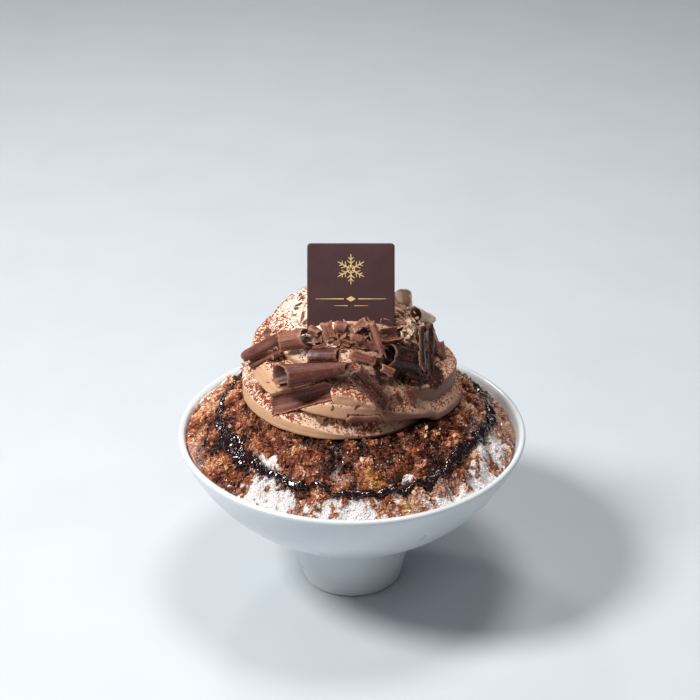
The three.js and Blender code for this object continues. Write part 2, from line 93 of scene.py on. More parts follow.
def azimuth_gap(a, b):
    """How many degrees lie between two azimuths, the short way round."""
    return np.abs((a - b + 540.0) % 360.0 - 180.0)


def unit(vectors):
    return vectors / np.linalg.norm(vectors, axis=-1, keepdims=True)


print("a point 80 mm to the front:", round_point(80, FRONT, 0).round(3))

# %% [markdown]
# ## Chance that repeats
#
# Crushed ice, crumbs and broken edges need chance, but every run has to give the same bowl. Each random
# draw therefore starts from a seed. The lumps of the ice and the places of the chips follow the small
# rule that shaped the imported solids, so the fine meshes lie where the solids do. Finer unevenness is a
# lattice of random values with smooth steps between them, which is close to what Blender's own Noise
# Texture does. It is written here for arrays, because it has to move real points and not only shade
# them. Most surfaces need two sizes of it, one over the other, which is a layered noise.

# %% Seeded draws, waves and noise
FULL_WORD = 0xFFFFFFFF
MULBERRY_STEP = 0x6D2B79F5
WAVE_LENGTHS = (0.7, 1.5)
POSITIVE_WORD = 0x7FFFFFFF
AXIS_PRIMES = np.array([73856093, 19349663, 83492791])
SEED_FACTOR = 40503
# How far each round of mixing shifts a number, and what it multiplies it by.
MIXING_ROUNDS = ((13, 1274126177), (16, 1911520717))


def seeded_draws(seed):
    """Yields draws between 0 and 1 by the mulberry32 rule."""
    state = seed
    while True:
        state = (state + MULBERRY_STEP) & FULL_WORD
        mixed = ((state ^ (state >> 15)) * (1 | state)) & FULL_WORD
        mixed ^= (mixed + (((mixed ^ (mixed >> 7)) * (61 | mixed)) & FULL_WORD)) & FULL_WORD
        yield ((mixed ^ (mixed >> 14)) & FULL_WORD) / 2**32


def wave_lumps(seed, size, count):
    """A function of x and y: soft lumps of about one size, summed from waves in seeded directions."""
    draws = seeded_draws(seed)
    waves = []
    for _ in range(count):
        heading = next(draws) * 2 * math.pi
        length = size * lerp(*WAVE_LENGTHS, next(draws))
        waves.append((math.cos(heading) / length, math.sin(heading) / length, next(draws)))

    def lumps(x, y):
        total = sum(np.sin(2 * math.pi * (kx * x + ky * y + phase)) for kx, ky, phase in waves)
        return total / math.sqrt(count)

    return lumps


def lattice_value(cells, seed):
    """A repeatable value between 0 and 1 for each whole-numbered cell."""
    mixed = (cells * AXIS_PRIMES[: cells.shape[-1]]).sum(axis=-1) + seed * SEED_FACTOR
    for shift, factor in MIXING_ROUNDS:
        mixed = ((mixed ^ (mixed >> shift)) & POSITIVE_WORD) * factor
    return ((mixed ^ (mixed >> 15)) & POSITIVE_WORD) / POSITIVE_WORD


def soft_noise(points, size, seed):
    """Smooth noise between -1 and 1, with lumps of about `size`, at points in two or three axes."""
    places = points / size
    home = np.floor(places).astype(np.int64)
    blend = ramp(0.0, 1.0, places - home)
    total = np.zeros(places.shape[:-1])
    for step in product((0, 1), repeat=places.shape[-1]):
        weight = np.prod(np.where(step, blend, 1.0 - blend), axis=-1)
        total += weight * lattice_value(home + np.array(step), seed)
    return 2.0 * total - 1.0


def layered_noise(points, layers):
    """Noise of several sizes at once. Each layer has a depth, a size and a seed."""
    return sum(depth * soft_noise(points, size, seed) for depth, size, seed in layers)


print("noise at three places:", soft_noise(np.array([[0.2, 0.4], [5.5, 1.5], [9.0, 2.0]]), 2.0, 1).round(3))

# %% [markdown]
# ## Meshes from arrays
#
# A piece can be modelled by hand, by modifiers or from arrays of points. Arrays suit food that is
# described by rules, so almost every piece here is a grid of points in rows, closed into one body. The
# helper below also stores values on the points, such as how much syrup a grain has soaked up. A shader
# reads them later by name.

# %% Make a mesh from points and faces
def set_values(mesh, name, values):
    """Stores one number or one vector for each point of a mesh."""
    values = np.asarray(values, dtype=np.float32)
    kind, field = ("FLOAT", "value") if values.ndim == 1 else ("FLOAT_VECTOR", "vector")
    mesh.attributes.new(name, kind, "POINT").data.foreach_set(field, values.ravel())


def add_piece(name, points, faces, smooth=True, **values):
    """An object from points in millimetres and rows of corner numbers, with values on its points."""
    mesh = bpy.data.meshes.new(name)
    mesh.from_pydata((np.asarray(points) * MM).tolist(), [], np.asarray(faces).tolist())
    mesh.polygons.foreach_set("use_smooth", np.full(len(mesh.polygons), smooth))
    for label, array in values.items():
        set_values(mesh, label, array)
    piece = bpy.data.objects.new(name, mesh)
    bpy.context.scene.collection.objects.link(piece)
    return piece


def grid_faces(rows, columns, closed=False):
    """The quads between rows of points. `closed` joins the last column to the first."""
    row = np.arange(rows - 1)[:, None] * columns
    left = np.arange(columns if closed else columns - 1)[None, :]
    right = (left + 1) % columns
    quads = [row + left, row + right, row + columns + right, row + columns + left]
    return np.stack(quads, axis=-1).reshape(-1, 4)


print("a grid of 3 by 4 points has", len(grid_faces(3, 4)), "faces")

# %% [markdown]
# Two passes finish a grid. Welding merges the points that coincide, such as the many that meet at a pole,
# and turns the faces outwards. Applying the modifiers turns a Boolean or a thickness into plain mesh, so
# that what is measured and painted later is the final form.
#
# Dressing a piece then gives it its finish. It rides on the model's one body, and may stand for imported
# pieces, which are hidden from then on.

# %% Weld, apply and dress
SAME_POINT = 1e-7


def weld(piece):
    """Merges points that coincide, drops faces without area, turns the faces outwards. Returns the piece."""
    work = bmesh.new()
    work.from_mesh(piece.data)
    bmesh.ops.remove_doubles(work, verts=work.verts, dist=SAME_POINT)
    bmesh.ops.dissolve_degenerate(work, edges=work.edges, dist=SAME_POINT)
    bmesh.ops.recalc_face_normals(work, faces=work.faces)
    work.to_mesh(piece.data)
    work.free()
    return piece


def apply_modifiers(piece):
    """Turns a piece's modifiers into plain mesh."""
    graph = bpy.context.evaluated_depsgraph_get()
    final = bpy.data.meshes.new_from_object(piece.evaluated_get(graph))
    plain = piece.data
    piece.modifiers.clear()
    piece.data = final
    bpy.data.meshes.remove(plain)


def dress(piece, material, slot, *nodes):
    """Gives a piece its finish, lets it ride on the one body and stand for the CAD nodes it replaces."""
    piece.data.materials.clear()
    piece.data.materials.append(material)
    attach(piece, "root")
    if nodes:
        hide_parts(*nodes)
    print(piece.name, "triangles:", sum(len(face.vertices) - 2 for face in piece.data.polygons))


print("points within", round(SAME_POINT / MM, 6), "mm of each other are merged")

# %% [markdown]
# ## The camera
#
# The bowl is seen from the front and from above, at a little under thirty degrees. A short lens from
# near by would swell the rim towards the front, and a very long one would flatten the whole. At 0.8 m, a
# lens of about 90 mm fills the frame. The camera points at a spot close to the bowl's axis, and its place
# is worked out from its distance and its angle. Blender's cameras and lights are placed in metres.

# %% Add the camera
LENS = 91.16
CAMERA_DISTANCE = 0.8
CAMERA_HEIGHT_ANGLE = math.radians(28.23)
CAMERA_AIM = Vector((-0.0009, 0.0, 0.1197))


def add_to_scene(name, data):
    """An object of its own for a camera or a light."""
    made = bpy.data.objects.new(name, data)
    bpy.context.scene.collection.objects.link(made)
    return made


def point_at(thing, target):
    """Turns a camera or a light so that it looks at a place."""
    thing.rotation_euler = (thing.location - target).to_track_quat("Z", "Y").to_euler()


away = Vector((0, -math.cos(CAMERA_HEIGHT_ANGLE), math.sin(CAMERA_HEIGHT_ANGLE)))
camera = add_to_scene("camera", bpy.data.cameras.new("camera"))
camera.data.lens = LENS
camera.location = CAMERA_AIM + away * CAMERA_DISTANCE
point_at(camera, CAMERA_AIM)
bpy.context.scene.camera = camera
print("camera at", [round(value, 4) for value in camera.location])

# %% [markdown]
# ## The studio
#
# The dessert stands on one pale sheet that curves up behind it, so no edge of a table cuts the view. The
# main light is a soft box high at the left. It models the folds of the cream and leaves the cream's right
# side in shade. A weaker wash from above lights what lies level, a faint fill at the right keeps the shade
# open, and a fainter glow from the front left reaches in under the curls. A small light behind gives wet
# ice and sauce their sharp glints. Area lights are used, and not points, because food needs the soft
# edges of a window's shadow. The Standard view keeps the colours as they are set, where AgX would wash
# the browns out.

# %% Add the floor and the lights
FLOOR_SIZE = 12.0
FLOOR_TURN = 1.2
FLOOR_CURVE = 0.6
FLOOR_STEPS = 23
LIGHTS = {
    "soft_box": {"place": (-0.76, -0.3, 1.05), "size": 0.34, "power": 19.0},
    "top_wash": {"place": (0.1, 0.1, 1.25), "size": 0.4, "power": 6.5},
    "right_fill": {"place": (0.55, -0.35, 1.2), "size": 0.5, "power": 1.3},
    "front_glow": {"place": (-0.6, -1.0, 0.8), "size": 0.4, "power": 0.6},
    "glint_behind": {"place": (-0.3, 0.75, 0.85), "size": 0.14, "power": 2.0},
}
LIGHT_AIM = Vector((0.0, 0.0, 0.1))
LIGHT_COLOUR = (1.0, 0.97, 0.93)
SKY_COLOUR = (0.9, 0.94, 1.0, 1.0)
SKY_STRENGTH = 0.1


def add_floor():
    """A sheet that lies flat, turns up in a quarter round and stands behind the dessert."""
    angles = np.radians(np.linspace(0, 90, FLOOR_STEPS + 1))
    bend = [(FLOOR_TURN + FLOOR_CURVE * math.sin(a), FLOOR_CURVE * (1 - math.cos(a))) for a in angles]
    side = [(-FLOOR_SIZE, 0.0), *bend, (FLOOR_TURN + FLOOR_CURVE, FLOOR_SIZE)]
    points = [(x / MM, y / MM, z / MM) for x in (FLOOR_SIZE, -FLOOR_SIZE) for y, z in side]
    return add_piece("floor", points, grid_faces(2, len(side)))


def add_light(name, place, size, power):
    light = add_to_scene(name, bpy.data.lights.new(name, "AREA"))
    light.data.color = LIGHT_COLOUR
    light.data.shape = "DISK"
    light.data.size = size
    light.data.energy = power
    light.location = place
    point_at(light, LIGHT_AIM)


def add_sky():
    """A dim even light from all round, as white walls give."""
    sky = bpy.data.worlds.new("studio_sky")
    sky.use_nodes = True
    background = sky.node_tree.nodes["Background"].inputs
    background["Color"].default_value = SKY_COLOUR
    background["Strength"].default_value = SKY_STRENGTH
    bpy.context.scene.world = sky


floor = add_floor()
for name, light in LIGHTS.items():
    add_light(name, **light)
add_sky()
bpy.context.scene.view_settings.view_transform = "Standard"
print("lights:", ", ".join(LIGHTS))

# %% [markdown]
# ## Small helpers for shader nodes
#
# A material can be built by hand in the Shader Editor or from code. In code the same few moves come back:
# add a node, set its inputs, link it. These helpers do that, so that each finish reads as a short recipe.
# Colours are written as they look on a screen and turned into the linear values that shaders work with.

# %% Helpers for nodes and materials
def colour(red, green, blue):
    """A screen colour, 0 to 255, as the linear colour that a shader needs, by the sRGB curve."""
    parts = [part / 255 for part in (red, green, blue)]
    return [part / 12.92 if part <= 0.04045 else ((part + 0.055) / 1.055) ** 2.4 for part in parts] + [1]


def add_node(tree, kind, inputs=None, **settings):
    """A shader node. An input is given a value, or another node's output to link to."""
    node = tree.nodes.new("ShaderNode" + kind)
    for name, value in settings.items():
        setattr(node, name, value)
    for name, value in (inputs or {}).items():
        if isinstance(value, bpy.types.NodeSocket):
            tree.links.new(value, node.inputs[name])
        else:
            node.inputs[name].default_value = value
    return node


def reckon(tree, operation, first, second=0.0):
    """One step of arithmetic on values of a surface."""
    return add_node(tree, "Math", {0: first, 1: second}, operation=operation).outputs[0]


def blend_colours(tree, amount, first, second):
    """The first colour where the amount is 0, the second where it is 1, and a blend between."""
    # The Mix node has sockets for each kind of data. Those for colours are inputs 6 and 7 and output 2.
    return add_node(tree, "Mix", {0: amount, 6: first, 7: second}, data_type="RGBA").outputs[2]


def spread(tree, value, low, high, to_low=0.0, to_high=1.0, hold=True):
    """Maps a range of values to another. `hold` keeps what lies outside it at the ends."""
    ends = {"Value": value, "From Min": low, "From Max": high, "To Min": to_low, "To Max": to_high}
    return add_node(tree, "MapRange", ends, clamp=hold).outputs[0]


def ramp_colours(tree, value, *stops):
    """Colours along a value. Each stop is a position and a colour."""
    node = add_node(tree, "ValToRGB", {0: value})
    while len(node.color_ramp.elements) < len(stops):
        node.color_ramp.elements.new(0.5)
    for element, (position, stop) in zip(node.color_ramp.elements, stops):
        element.position = position
        element.color = stop
    return node.outputs[0]


def stored(tree, name, output="Fac"):
    """The values that a mesh stores on its points."""
    return add_node(tree, "Attribute", attribute_name=name).outputs[output]


def bump(tree, height, depth):
    """A normal from a height between 0 and 1, where 1 stands `depth` millimetres proud."""
    return add_node(tree, "Bump", {"Height": height, "Distance": depth * MM}).outputs[0]


def new_material(name, constants):
    """A material with its Principled BSDF. What is the same all over is set on the shader itself."""
    material = bpy.data.materials.new(name)
    material.use_nodes = True
    shader = material.node_tree.nodes["Principled BSDF"]
    for label, value in constants.items():
        shader.inputs[label].default_value = value
    return material, material.node_tree, shader


def feed(tree, shader, **sockets):
    """Links what changes over the surface: base, roughness, coat and normal."""
    labels = {"base": "Base Color", "rough": "Roughness", "coat": "Coat Weight", "normal": "Normal"}
    for name, socket in sockets.items():
        tree.links.new(socket, shader.inputs[labels[name]])


print("screen brown (134, 74, 42) is linear", [round(part, 3) for part in colour(134, 74, 42)])

# %% [markdown]
# ## Effects that several finishes share
#
# Mottling, specks and streaks come back in several finishes, only at other sizes. Each is a node group,
# built once and placed in a material with its own values. The groups take sizes in millimetres. Mottling
# is plain noise: its middle part, where nearly all of it lies, is stretched over the range that a finish
# asks for. Specks are the peaks of a rougher noise, where a Voronoi texture would give dots that are too
# round. A larger cover lowers the level above which a peak counts. Streaks are noise on a stretched
# place, which follows a piece's own length and not the world, so that each curl has streaks along its
# roll.

# %% Build the shared node groups
NOISE_MIDDLE = (0.25, 0.75)
SPECK_LEVELS = (0.72, 0.3)
SPECK_EDGE = 0.05
STREAK_MIDDLE = (0.3, 0.7)


def new_group(name, inputs, output):
    """A shader node group with named sockets, and the sockets to build between."""
    group = bpy.data.node_groups.new(name, "ShaderNodeTree")
    for label, usual in inputs.items():
        kind = "NodeSocketVector" if usual is None else "NodeSocketFloat"
        socket = group.interface.new_socket(label, in_out="INPUT", socket_type=kind)
        if usual is not None:
            socket.default_value = usual
    group.interface.new_socket(output, in_out="OUTPUT", socket_type="NodeSocketFloat")
    start = group.nodes.new("NodeGroupInput").outputs
    end = group.nodes.new("NodeGroupOutput").inputs
    return group, start, end


def place_in_object(tree):
    """The place of a point in metres. Every piece has its origin at the foot, so all share one pattern."""
    return add_node(tree, "TexCoord").outputs["Object"]


def make_mottle():
    group, start, end = new_group("mottle", {"Size": 8.0, "Low": 0.0, "High": 1.0}, "Value")
    scale = reckon(group, "DIVIDE", 1 / MM, start["Size"])
    noise = add_node(group, "TexNoise", {"Vector": place_in_object(group), "Scale": scale, "Detail": 3.0})
    value = spread(group, noise.outputs[0], *NOISE_MIDDLE, start["Low"], start["High"], hold=False)
    group.links.new(value, end["Value"])
    return group


def make_specks():
    group, start, end = new_group("specks", {"Size": 1.0, "Cover": 0.3}, "Mask")
    scale = reckon(group, "DIVIDE", 1 / MM, start["Size"])
    inputs = {"Vector": place_in_object(group), "Scale": scale, "Detail": 2.0, "Roughness": 0.6}
    noise = add_node(group, "TexNoise", inputs)
    level = spread(group, start["Cover"], 0.0, 1.0, *SPECK_LEVELS)
    above = reckon(group, "SUBTRACT", noise.outputs[0], level)
    group.links.new(spread(group, above, 0.0, SPECK_EDGE), end["Mask"])
    return group


def make_streaks():
    group, start, end = new_group("streaks", {"Place": None, "Length": 12.0, "Width": 0.6}, "Value")
    along = reckon(group, "DIVIDE", 1.0, start["Length"])
    across = reckon(group, "DIVIDE", 1.0, start["Width"])
    stretch = add_node(group, "CombineXYZ", {0: along, 1: across, 2: 1.0}).outputs[0]
    place = add_node(group, "VectorMath", {0: start["Place"], 1: stretch}, operation="MULTIPLY")
    noise = add_node(group, "TexNoise", {"Vector": place.outputs[0], "Scale": 1.0, "Detail": 3.0})
    group.links.new(spread(group, noise.outputs[0], *STREAK_MIDDLE), end["Value"])
    return group


mottle_group = make_mottle()
specks_group = make_specks()
streaks_group = make_streaks()
print("groups:", ", ".join(group.name for group in bpy.data.node_groups))

# %% [markdown]
# Three short helpers place these groups in a material. The first finish that needs one is the studio's
# paper, a pale grey blue with a hint of mottling, so that its soft shadows don't band.

# %% Place the groups, and finish the paper
def mottle(tree, size, low=0.0, high=1.0):
    inputs = {"Size": size, "Low": low, "High": high}
    return add_node(tree, "Group", inputs, node_tree=mottle_group).outputs["Value"]


def specks(tree, size, cover):
    return add_node(tree, "Group", {"Size": size, "Cover": cover}, node_tree=specks_group).outputs["Mask"]


def streaks(tree, place, length, width):
    inputs = {"Place": place, "Length": length, "Width": width}
    return add_node(tree, "Group", inputs, node_tree=streaks_group).outputs["Value"]


def make_paper():
    material, tree, shader = new_material("pale_paper", {"Roughness": 0.9})
    pale = blend_colours(tree, mottle(tree, 60.0), colour(192, 200, 208), colour(197, 204, 211))
    feed(tree, shader, base=pale)
    return material


floor.data.materials.append(make_paper())
print("the floor wears", floor.data.materials[0].name)

# %% [markdown]
# ## The bowl
#
# The bowl is thrown or pressed china: a thin flared wall on a tapered foot, with a rounded lip. Such a
# round thing can be made with the Screw modifier, by spinning an edge, or as here from a profile of
# radius and height that is turned in numpy. The wall is one Bezier curve, and its thickness is laid off
# inwards from it, thicker at the foot. The inner face is wanted again further down, because the ice lies
# against it.

# %% Draw the bowl's wall
bowl_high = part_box("bowl")[1]
RIM_RADIUS = bowl_high.y / MM
BOWL_HEIGHT = bowl_high.z / MM
WALL_AT_RIM = 2.6
WALL_AT_FOOT = 4.0
FLARE_DROP = 30.5
FLARE_INSET = 11.4
NECK_RADIUS = 29.8
NECK_HEIGHT = 29.0
BELLY_REACH = 16.6
BELLY_RISE = 7.8
WALL_STEPS = 48
WALL_POINTS = np.array([
    (NECK_RADIUS, NECK_HEIGHT),
    (NECK_RADIUS + BELLY_REACH, NECK_HEIGHT + BELLY_RISE),
    (RIM_RADIUS - FLARE_INSET, BOWL_HEIGHT - FLARE_DROP),
    (RIM_RADIUS, BOWL_HEIGHT - WALL_AT_RIM / 2),
])


def bezier(points, t):
    """A Bezier curve of any degree at the fractions t, by repeated blending."""
    rows = [np.broadcast_to(point, (len(t), len(point))) for point in points]
    while len(rows) > 1:
        rows = [lerp(first, second, t[:, None]) for first, second in zip(rows, rows[1:])]
    return rows[0]


def inner_wall(inset):
    """The wall's inner face from the floor up, `inset` further in than the china."""
    t = np.linspace(0, 1, WALL_STEPS + 1)
    along = unit(bezier(np.diff(WALL_POINTS, axis=0), t))
    inward = np.stack([-along[:, 1], along[:, 0]], axis=-1)
    thickness = lerp(WALL_AT_FOOT, WALL_AT_RIM, t) + inset
    return bezier(WALL_POINTS, t) + inward * thickness[:, None]


print("the floor inside starts at radius and height", inner_wall(0)[0].round(1), "mm")

# %% [markdown]
# The rest of the profile is the foot and the lip. The foot stands on a flat ring round a shallow recess,
# as a potter leaves it, and the lip is rounded over. The sharp turn at the neck is softened with a short
# curve of its own, as glaze softens it. Spinning the whole profile gives one closed body.

# %% Turn the bowl
FOOT_RADIUS = 24.0
FOOT_EDGE = 2.0
FOOT_RING_WIDTH = 5.0
FOOT_RECESS = 1.5
FLOOR_DISH = 0.8
NECK_SOFTNESS = 2.5
LIP_TURN = 135
BOWL_SIDES = 192
EDGE_STEPS = 8


def arc(centre, radius, begin, end):
    """Points on a round corner of the profile, between two angles in degrees."""
    angles = np.radians(np.linspace(begin, end, EDGE_STEPS + 1))
    return np.asarray(centre) + radius * np.stack([np.cos(angles), np.sin(angles)], axis=-1)


def bowl_profile():
    """Radius and height of the profile, from under the foot, up the outside and down the inside."""
    ring_outer = FOOT_RADIUS - FOOT_EDGE
    ring_inner = ring_outer - FOOT_RING_WIDTH
    under = [(0, FOOT_RECESS), (ring_inner, FOOT_RECESS), (ring_inner + FOOT_RECESS / 2, 0)]
    edge = arc((ring_outer, FOOT_EDGE), FOOT_EDGE, -90, 0)
    wall = bezier(WALL_POINTS, np.linspace(0, 1, WALL_STEPS + 1))
    neck = wall[0]
    below = neck - NECK_SOFTNESS * unit(neck - edge[-1])
    beyond = np.flatnonzero(np.linalg.norm(wall - neck, axis=-1) > NECK_SOFTNESS)[0]
    bend = bezier(np.array([below, neck, wall[beyond]]), np.linspace(0, 1, EDGE_STEPS))
    half = WALL_AT_RIM / 2
    lip = arc((RIM_RADIUS - half, BOWL_HEIGHT - half), half, 0, LIP_TURN)
    inside = inner_wall(0)[::-1]
    middle = [(0, inside[-1, 1] - FLOOR_DISH)]
    return np.concatenate([under, edge, bend, wall[beyond + 1 : -1], lip, inside, middle])


def lathe(profile, sides):
    """A profile of radius and height turned about the upright axis."""
    azimuths = np.arange(sides) * 360 / sides
    points = round_point(profile[:, :1], azimuths, profile[:, 1:])
    return points.reshape(-1, 3), grid_faces(len(profile), sides, closed=True)


bowl = weld(add_piece("china_bowl", *lathe(bowl_profile(), BOWL_SIDES)))
print("bowl:", len(bowl.data.vertices), "points, rim radius", round(RIM_RADIUS, 2), "mm")

# %% [markdown]
# ## The finish of the china
#
# White china is a clay body under clear glaze. A plain white with low roughness looks like plastic, so
# four small things are added: the white drifts a little from place to place, the gloss changes in broad
# patches, the wall waves very slightly, as a fired one does, and the ring that the bowl stands on is
# rough and darker, like bare clay. The glaze itself is the shader's coat, a second sharper reflection
# over the body.

# %% Finish the bowl
BARE_RING_HEIGHT = 0.5
BARE_ROUGHNESS = 0.8


def make_china():
    constants = {"Coat Weight": 0.35, "Coat Roughness": 0.12, "IOR": 1.5}
    material, tree, shader = new_material("glazed_china", constants)
    # The white is a little blue: partly the glaze's own cool white, partly a painted reflection of blue
    # surroundings.
    white = blend_colours(tree, mottle(tree, 35.0), colour(206, 213, 219), colour(216, 221, 225))
    height = add_node(tree, "SeparateXYZ", {0: place_in_object(tree)}).outputs["Z"]
    bare = spread(tree, height, BARE_RING_HEIGHT * MM, 0.0)
    clay = blend_colours(tree, mottle(tree, 1.2), colour(196, 188, 176), colour(218, 212, 202))
    bare_rough = reckon(tree, "MULTIPLY", bare, BARE_ROUGHNESS)
    rough = reckon(tree, "MAXIMUM", mottle(tree, 22.0, low=0.26, high=0.34), bare_rough)
    base = blend_colours(tree, bare, white, clay)
    feed(tree, shader, base=base, rough=rough, normal=bump(tree, mottle(tree, 30.0), depth=0.01))
    return material


dress(bowl, make_china(), "china", "bowl")

# %% [markdown]
# ## The heap of ice
#
# Shaved ice is heaped from the wall up to a flat seat under the cream. Its flank bulges a little and has
# soft lumps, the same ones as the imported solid. Such a form could be sculpted, but a rule for its height
# at any radius and azimuth also says where grains, sauce and cream touch it, so everything that lies on
# the heap asks the same function.

# %% The form of the heap
SEAT_HEIGHT = 98.0
SEAT_RADIUS = 46.0
ICE_EDGE_HEIGHT = 76.3
ICE_EDGE_TILT = 1.3
ICE_BULGE = 1.8
ICE_LUMP = 1.1
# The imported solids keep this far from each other.
GAP = 0.3
# Shares of the way from the seat to the wall between which the lumps appear, and fade again.
LUMPS_BEGIN = (0.03, 0.15)
LUMPS_END = (0.85, 1)

ice_lumps = wave_lumps(seed=11, size=9, count=9)


def edge_height(azimuth):
    """The height of the ice at the wall. The heap is a little higher on the left."""
    return ICE_EDGE_HEIGHT - ICE_EDGE_TILT * np.cos(np.radians(azimuth))


def edge_radius(azimuth):
    """Where the ice meets the wall."""
    radii, heights = inner_wall(GAP).T
    return np.interp(edge_height(azimuth), heights, radii)


def ice_height(radius, azimuth):
    """The top of the heap without its grains."""
    points = round_point(radius, azimuth, 0.0)
    reach = np.clip((radius - SEAT_RADIUS) / (edge_radius(azimuth) - SEAT_RADIUS), 0, 1)
    flank = lerp(SEAT_HEIGHT, edge_height(azimuth), reach) + ICE_BULGE * np.sin(math.pi * reach)
    fade = ramp(*LUMPS_BEGIN, reach) * (1 - ramp(*LUMPS_END, reach))
    return flank + fade * ICE_LUMP * ice_lumps(points[..., 0], points[..., 1])


print("ice meets the wall at radius", edge_radius(np.array([0.0, 90.0, 180.0])).round(1), "mm")

# %% [markdown]
# Syrup has soaked most of the ice brown. It stayed white where the syrup missed it, mostly in patches at
# the rim. Other patches were only wetted and are paler, and it is amber in a few thin places. A ring of
# thick sauce runs round the heap and soaks what lies under it. These colours could be painted on by
# hand, but then every loose grain would need its own paint. Here the patches are listed by radius and
# azimuth, noise in three sizes breaks their edges, and the core and the grains ask the same rule.

# %% How the syrup soaked the ice
SAUCE_RADII = [64.5, 62, 60.5, 60, 59, 58.5, 60, 62.5, 64.3, 66.3, 65.5, 60.5]
# Each patch has its inner and outer radius, and the azimuths between which it lies.
WHITE_PATCHES = [
    ((68.0, 77.0), (227, 246)), ((56.5, 67.0), (230, 239)), ((67.0, 78.0), (257, 284)),
    ((63.5, 73.5), (326, 346)), ((71.0, 78.0), (297, 328)), ((60.8, 63.8), (290, 296)),
    ((68.0, 77.0), (32, 60)), ((62.0, 74.0), (84, 100)), ((69.0, 77.0), (128, 160)),
]
PALE_PATCHES = [
    ((72.0, 78.0), (190, 206)), ((58.0, 63.5), (262, 272)), ((67.0, 79.0), (280, 330)),
    ((60.0, 78.0), (322, 384)), ((72.0, 79.0), (246, 260)), ((66.0, 78.0), (105, 128)),
]
AMBER_PATCHES = [((56.0, 64.0), (273, 283)), ((56.5, 60.0), (321, 327)), ((69.0, 75.0), (286, 292))]
# Azimuth and how much lighter the soaked ice is there. It is darker where this is below zero.
SYRUP_COURSE = [
    (0, 0.28), (30, 0.2), (90, 0.1), (150, 0.33), (175, 0.45), (200, 0.1),
    (225, -0.05), (255, 0.0), (300, 0.02), (335, 0.1), (350, 0.2), (360, 0.28),
]
# Azimuth and half width of the sauce.
SAUCE_HALF_WIDTHS = [
    (0, 1.7), (30, 1.5), (90, 1.7), (150, 1.5), (185, 1.4), (200, 2.1), (213, 3.0), (224, 2.3), (232, 1.4),
    (255, 1.0), (270, 1.0), (285, 0.8), (297, 1.2), (312, 1.6), (335, 1.7), (350, 1.7), (360, 1.7),
]
PATCH_EDGE = (0.75, 1.2)
SYRUP_SEED = 31
SYRUP_NOISE_SIZES = (1.2, 2.8, 7.0)
# How much the noise of each size counts in the raggedness, in the lightness and in the sauce's edge.
RAGGED_SHARES = (0.4, 0.45, 0.3)
LIGHT_SHARES = (0.2, 0.3, 0.3)
SOAK_SHARES = (1.0, 1.2, 0.0)
WHITE_RAGGEDNESS = 1.7
PALE_RAGGEDNESS = 1.5
# The radii between which the shade beside the cream fades.
CREAM_SHADE = (44, 52)
CREAM_DARKENS = 0.3
SAUCE_SOAK = (-1.2, 0.9)
USUAL_LIGHT = 0.31
PALE_LIGHTENS = 0.3
PALE_BARE = 0.15


def sauce_radius(azimuth):
    """A smooth closed curve through the sauce's radii, by the Catmull-Rom rule."""
    radii = np.array(SAUCE_RADII)
    place = (azimuth % 360) / 360 * len(radii)
    home = np.floor(place).astype(int)
    t = place - home
    a, b, c, d = (radii[(home + step) % len(radii)] for step in (-1, 0, 1, 2))
    return b + 0.5 * t * (c - a + t * (2 * a - 5 * b + 4 * c - d + t * (3 * (b - c) + d - a)))


def sauce_half_width(azimuth):
    """The ribbon of sauce is widest where the hand paused."""
    return np.interp(azimuth % 360, *np.array(SAUCE_HALF_WIDTHS).T)


def in_patches(patches, radius, azimuth, noise):
    """How far inside any of the patches a place is, 0 to 1, with edges broken by noise."""
    inside = np.zeros(np.shape(radius))
    for (inner, outer), (begin, end) in patches:
        across = (radius - (inner + outer) / 2) / ((outer - inner) / 2)
        around = azimuth_gap(azimuth, (begin + end) / 2) / ((end - begin) / 2)
        inside = np.maximum(inside, 1 - ramp(*PATCH_EDGE, np.hypot(across, around) + noise))
    return inside


def syrup_at(radius, azimuth):
    """How bare, how amber, how light and how coated with sauce the ice is, all 0 to 1."""
    flat = round_point(radius, azimuth, 0.0)[..., :2]
    noises = [soft_noise(flat, size, SYRUP_SEED) for size in SYRUP_NOISE_SIZES]
    kinds = (RAGGED_SHARES, LIGHT_SHARES, SOAK_SHARES)
    ragged, lighter, soaked = (sum(map(np.multiply, shares, noises)) for shares in kinds)
    white = in_patches(WHITE_PATCHES, radius, azimuth, WHITE_RAGGEDNESS * ragged)
    pale = in_patches(PALE_PATCHES, radius, azimuth, PALE_RAGGEDNESS * ragged)
    amber = in_patches(AMBER_PATCHES, radius, azimuth, PALE_RAGGEDNESS * ragged)
    beside_cream = 1 - ramp(*CREAM_SHADE, radius)
    stray = np.abs(radius - sauce_radius(azimuth)) - sauce_half_width(azimuth)
    coated = 1 - ramp(*SAUCE_SOAK, stray + soaked)
    light = USUAL_LIGHT + lighter - CREAM_DARKENS * beside_cream + PALE_LIGHTENS * pale
    light = light + np.interp(azimuth % 360, *np.array(SYRUP_COURSE).T)
    return np.maximum(white, PALE_BARE * pale), amber, np.clip(light, 0, 1), coated


flank_bare, _, flank_light, _ = syrup_at(np.full(360, 70.0), np.arange(360.0))
print("at radius 70 mm, bare share:", flank_bare.mean().round(2), "lightness:", flank_light.mean().round(2))

# %% [markdown]
# The core is one closed body: rows of points from the middle of the top out to the wall, and down the
# wall to the bowl's floor. It has the relief of coarse flakes, in three sizes: each place takes the
# height and tilt of the nearest flake, as in a Voronoi pattern. The relief is flatter in the fine white
# snow and at the wall, and fades out under the cream, where nothing shows.

# %% Build the core of the ice
CORE_COLUMNS = 720
CORE_ROWS = 96
CORE_INNER = 38.0
BURIED_MARGIN = 1
BURIED_ROW_STEP = 9
CORE_SHADE = 0.75
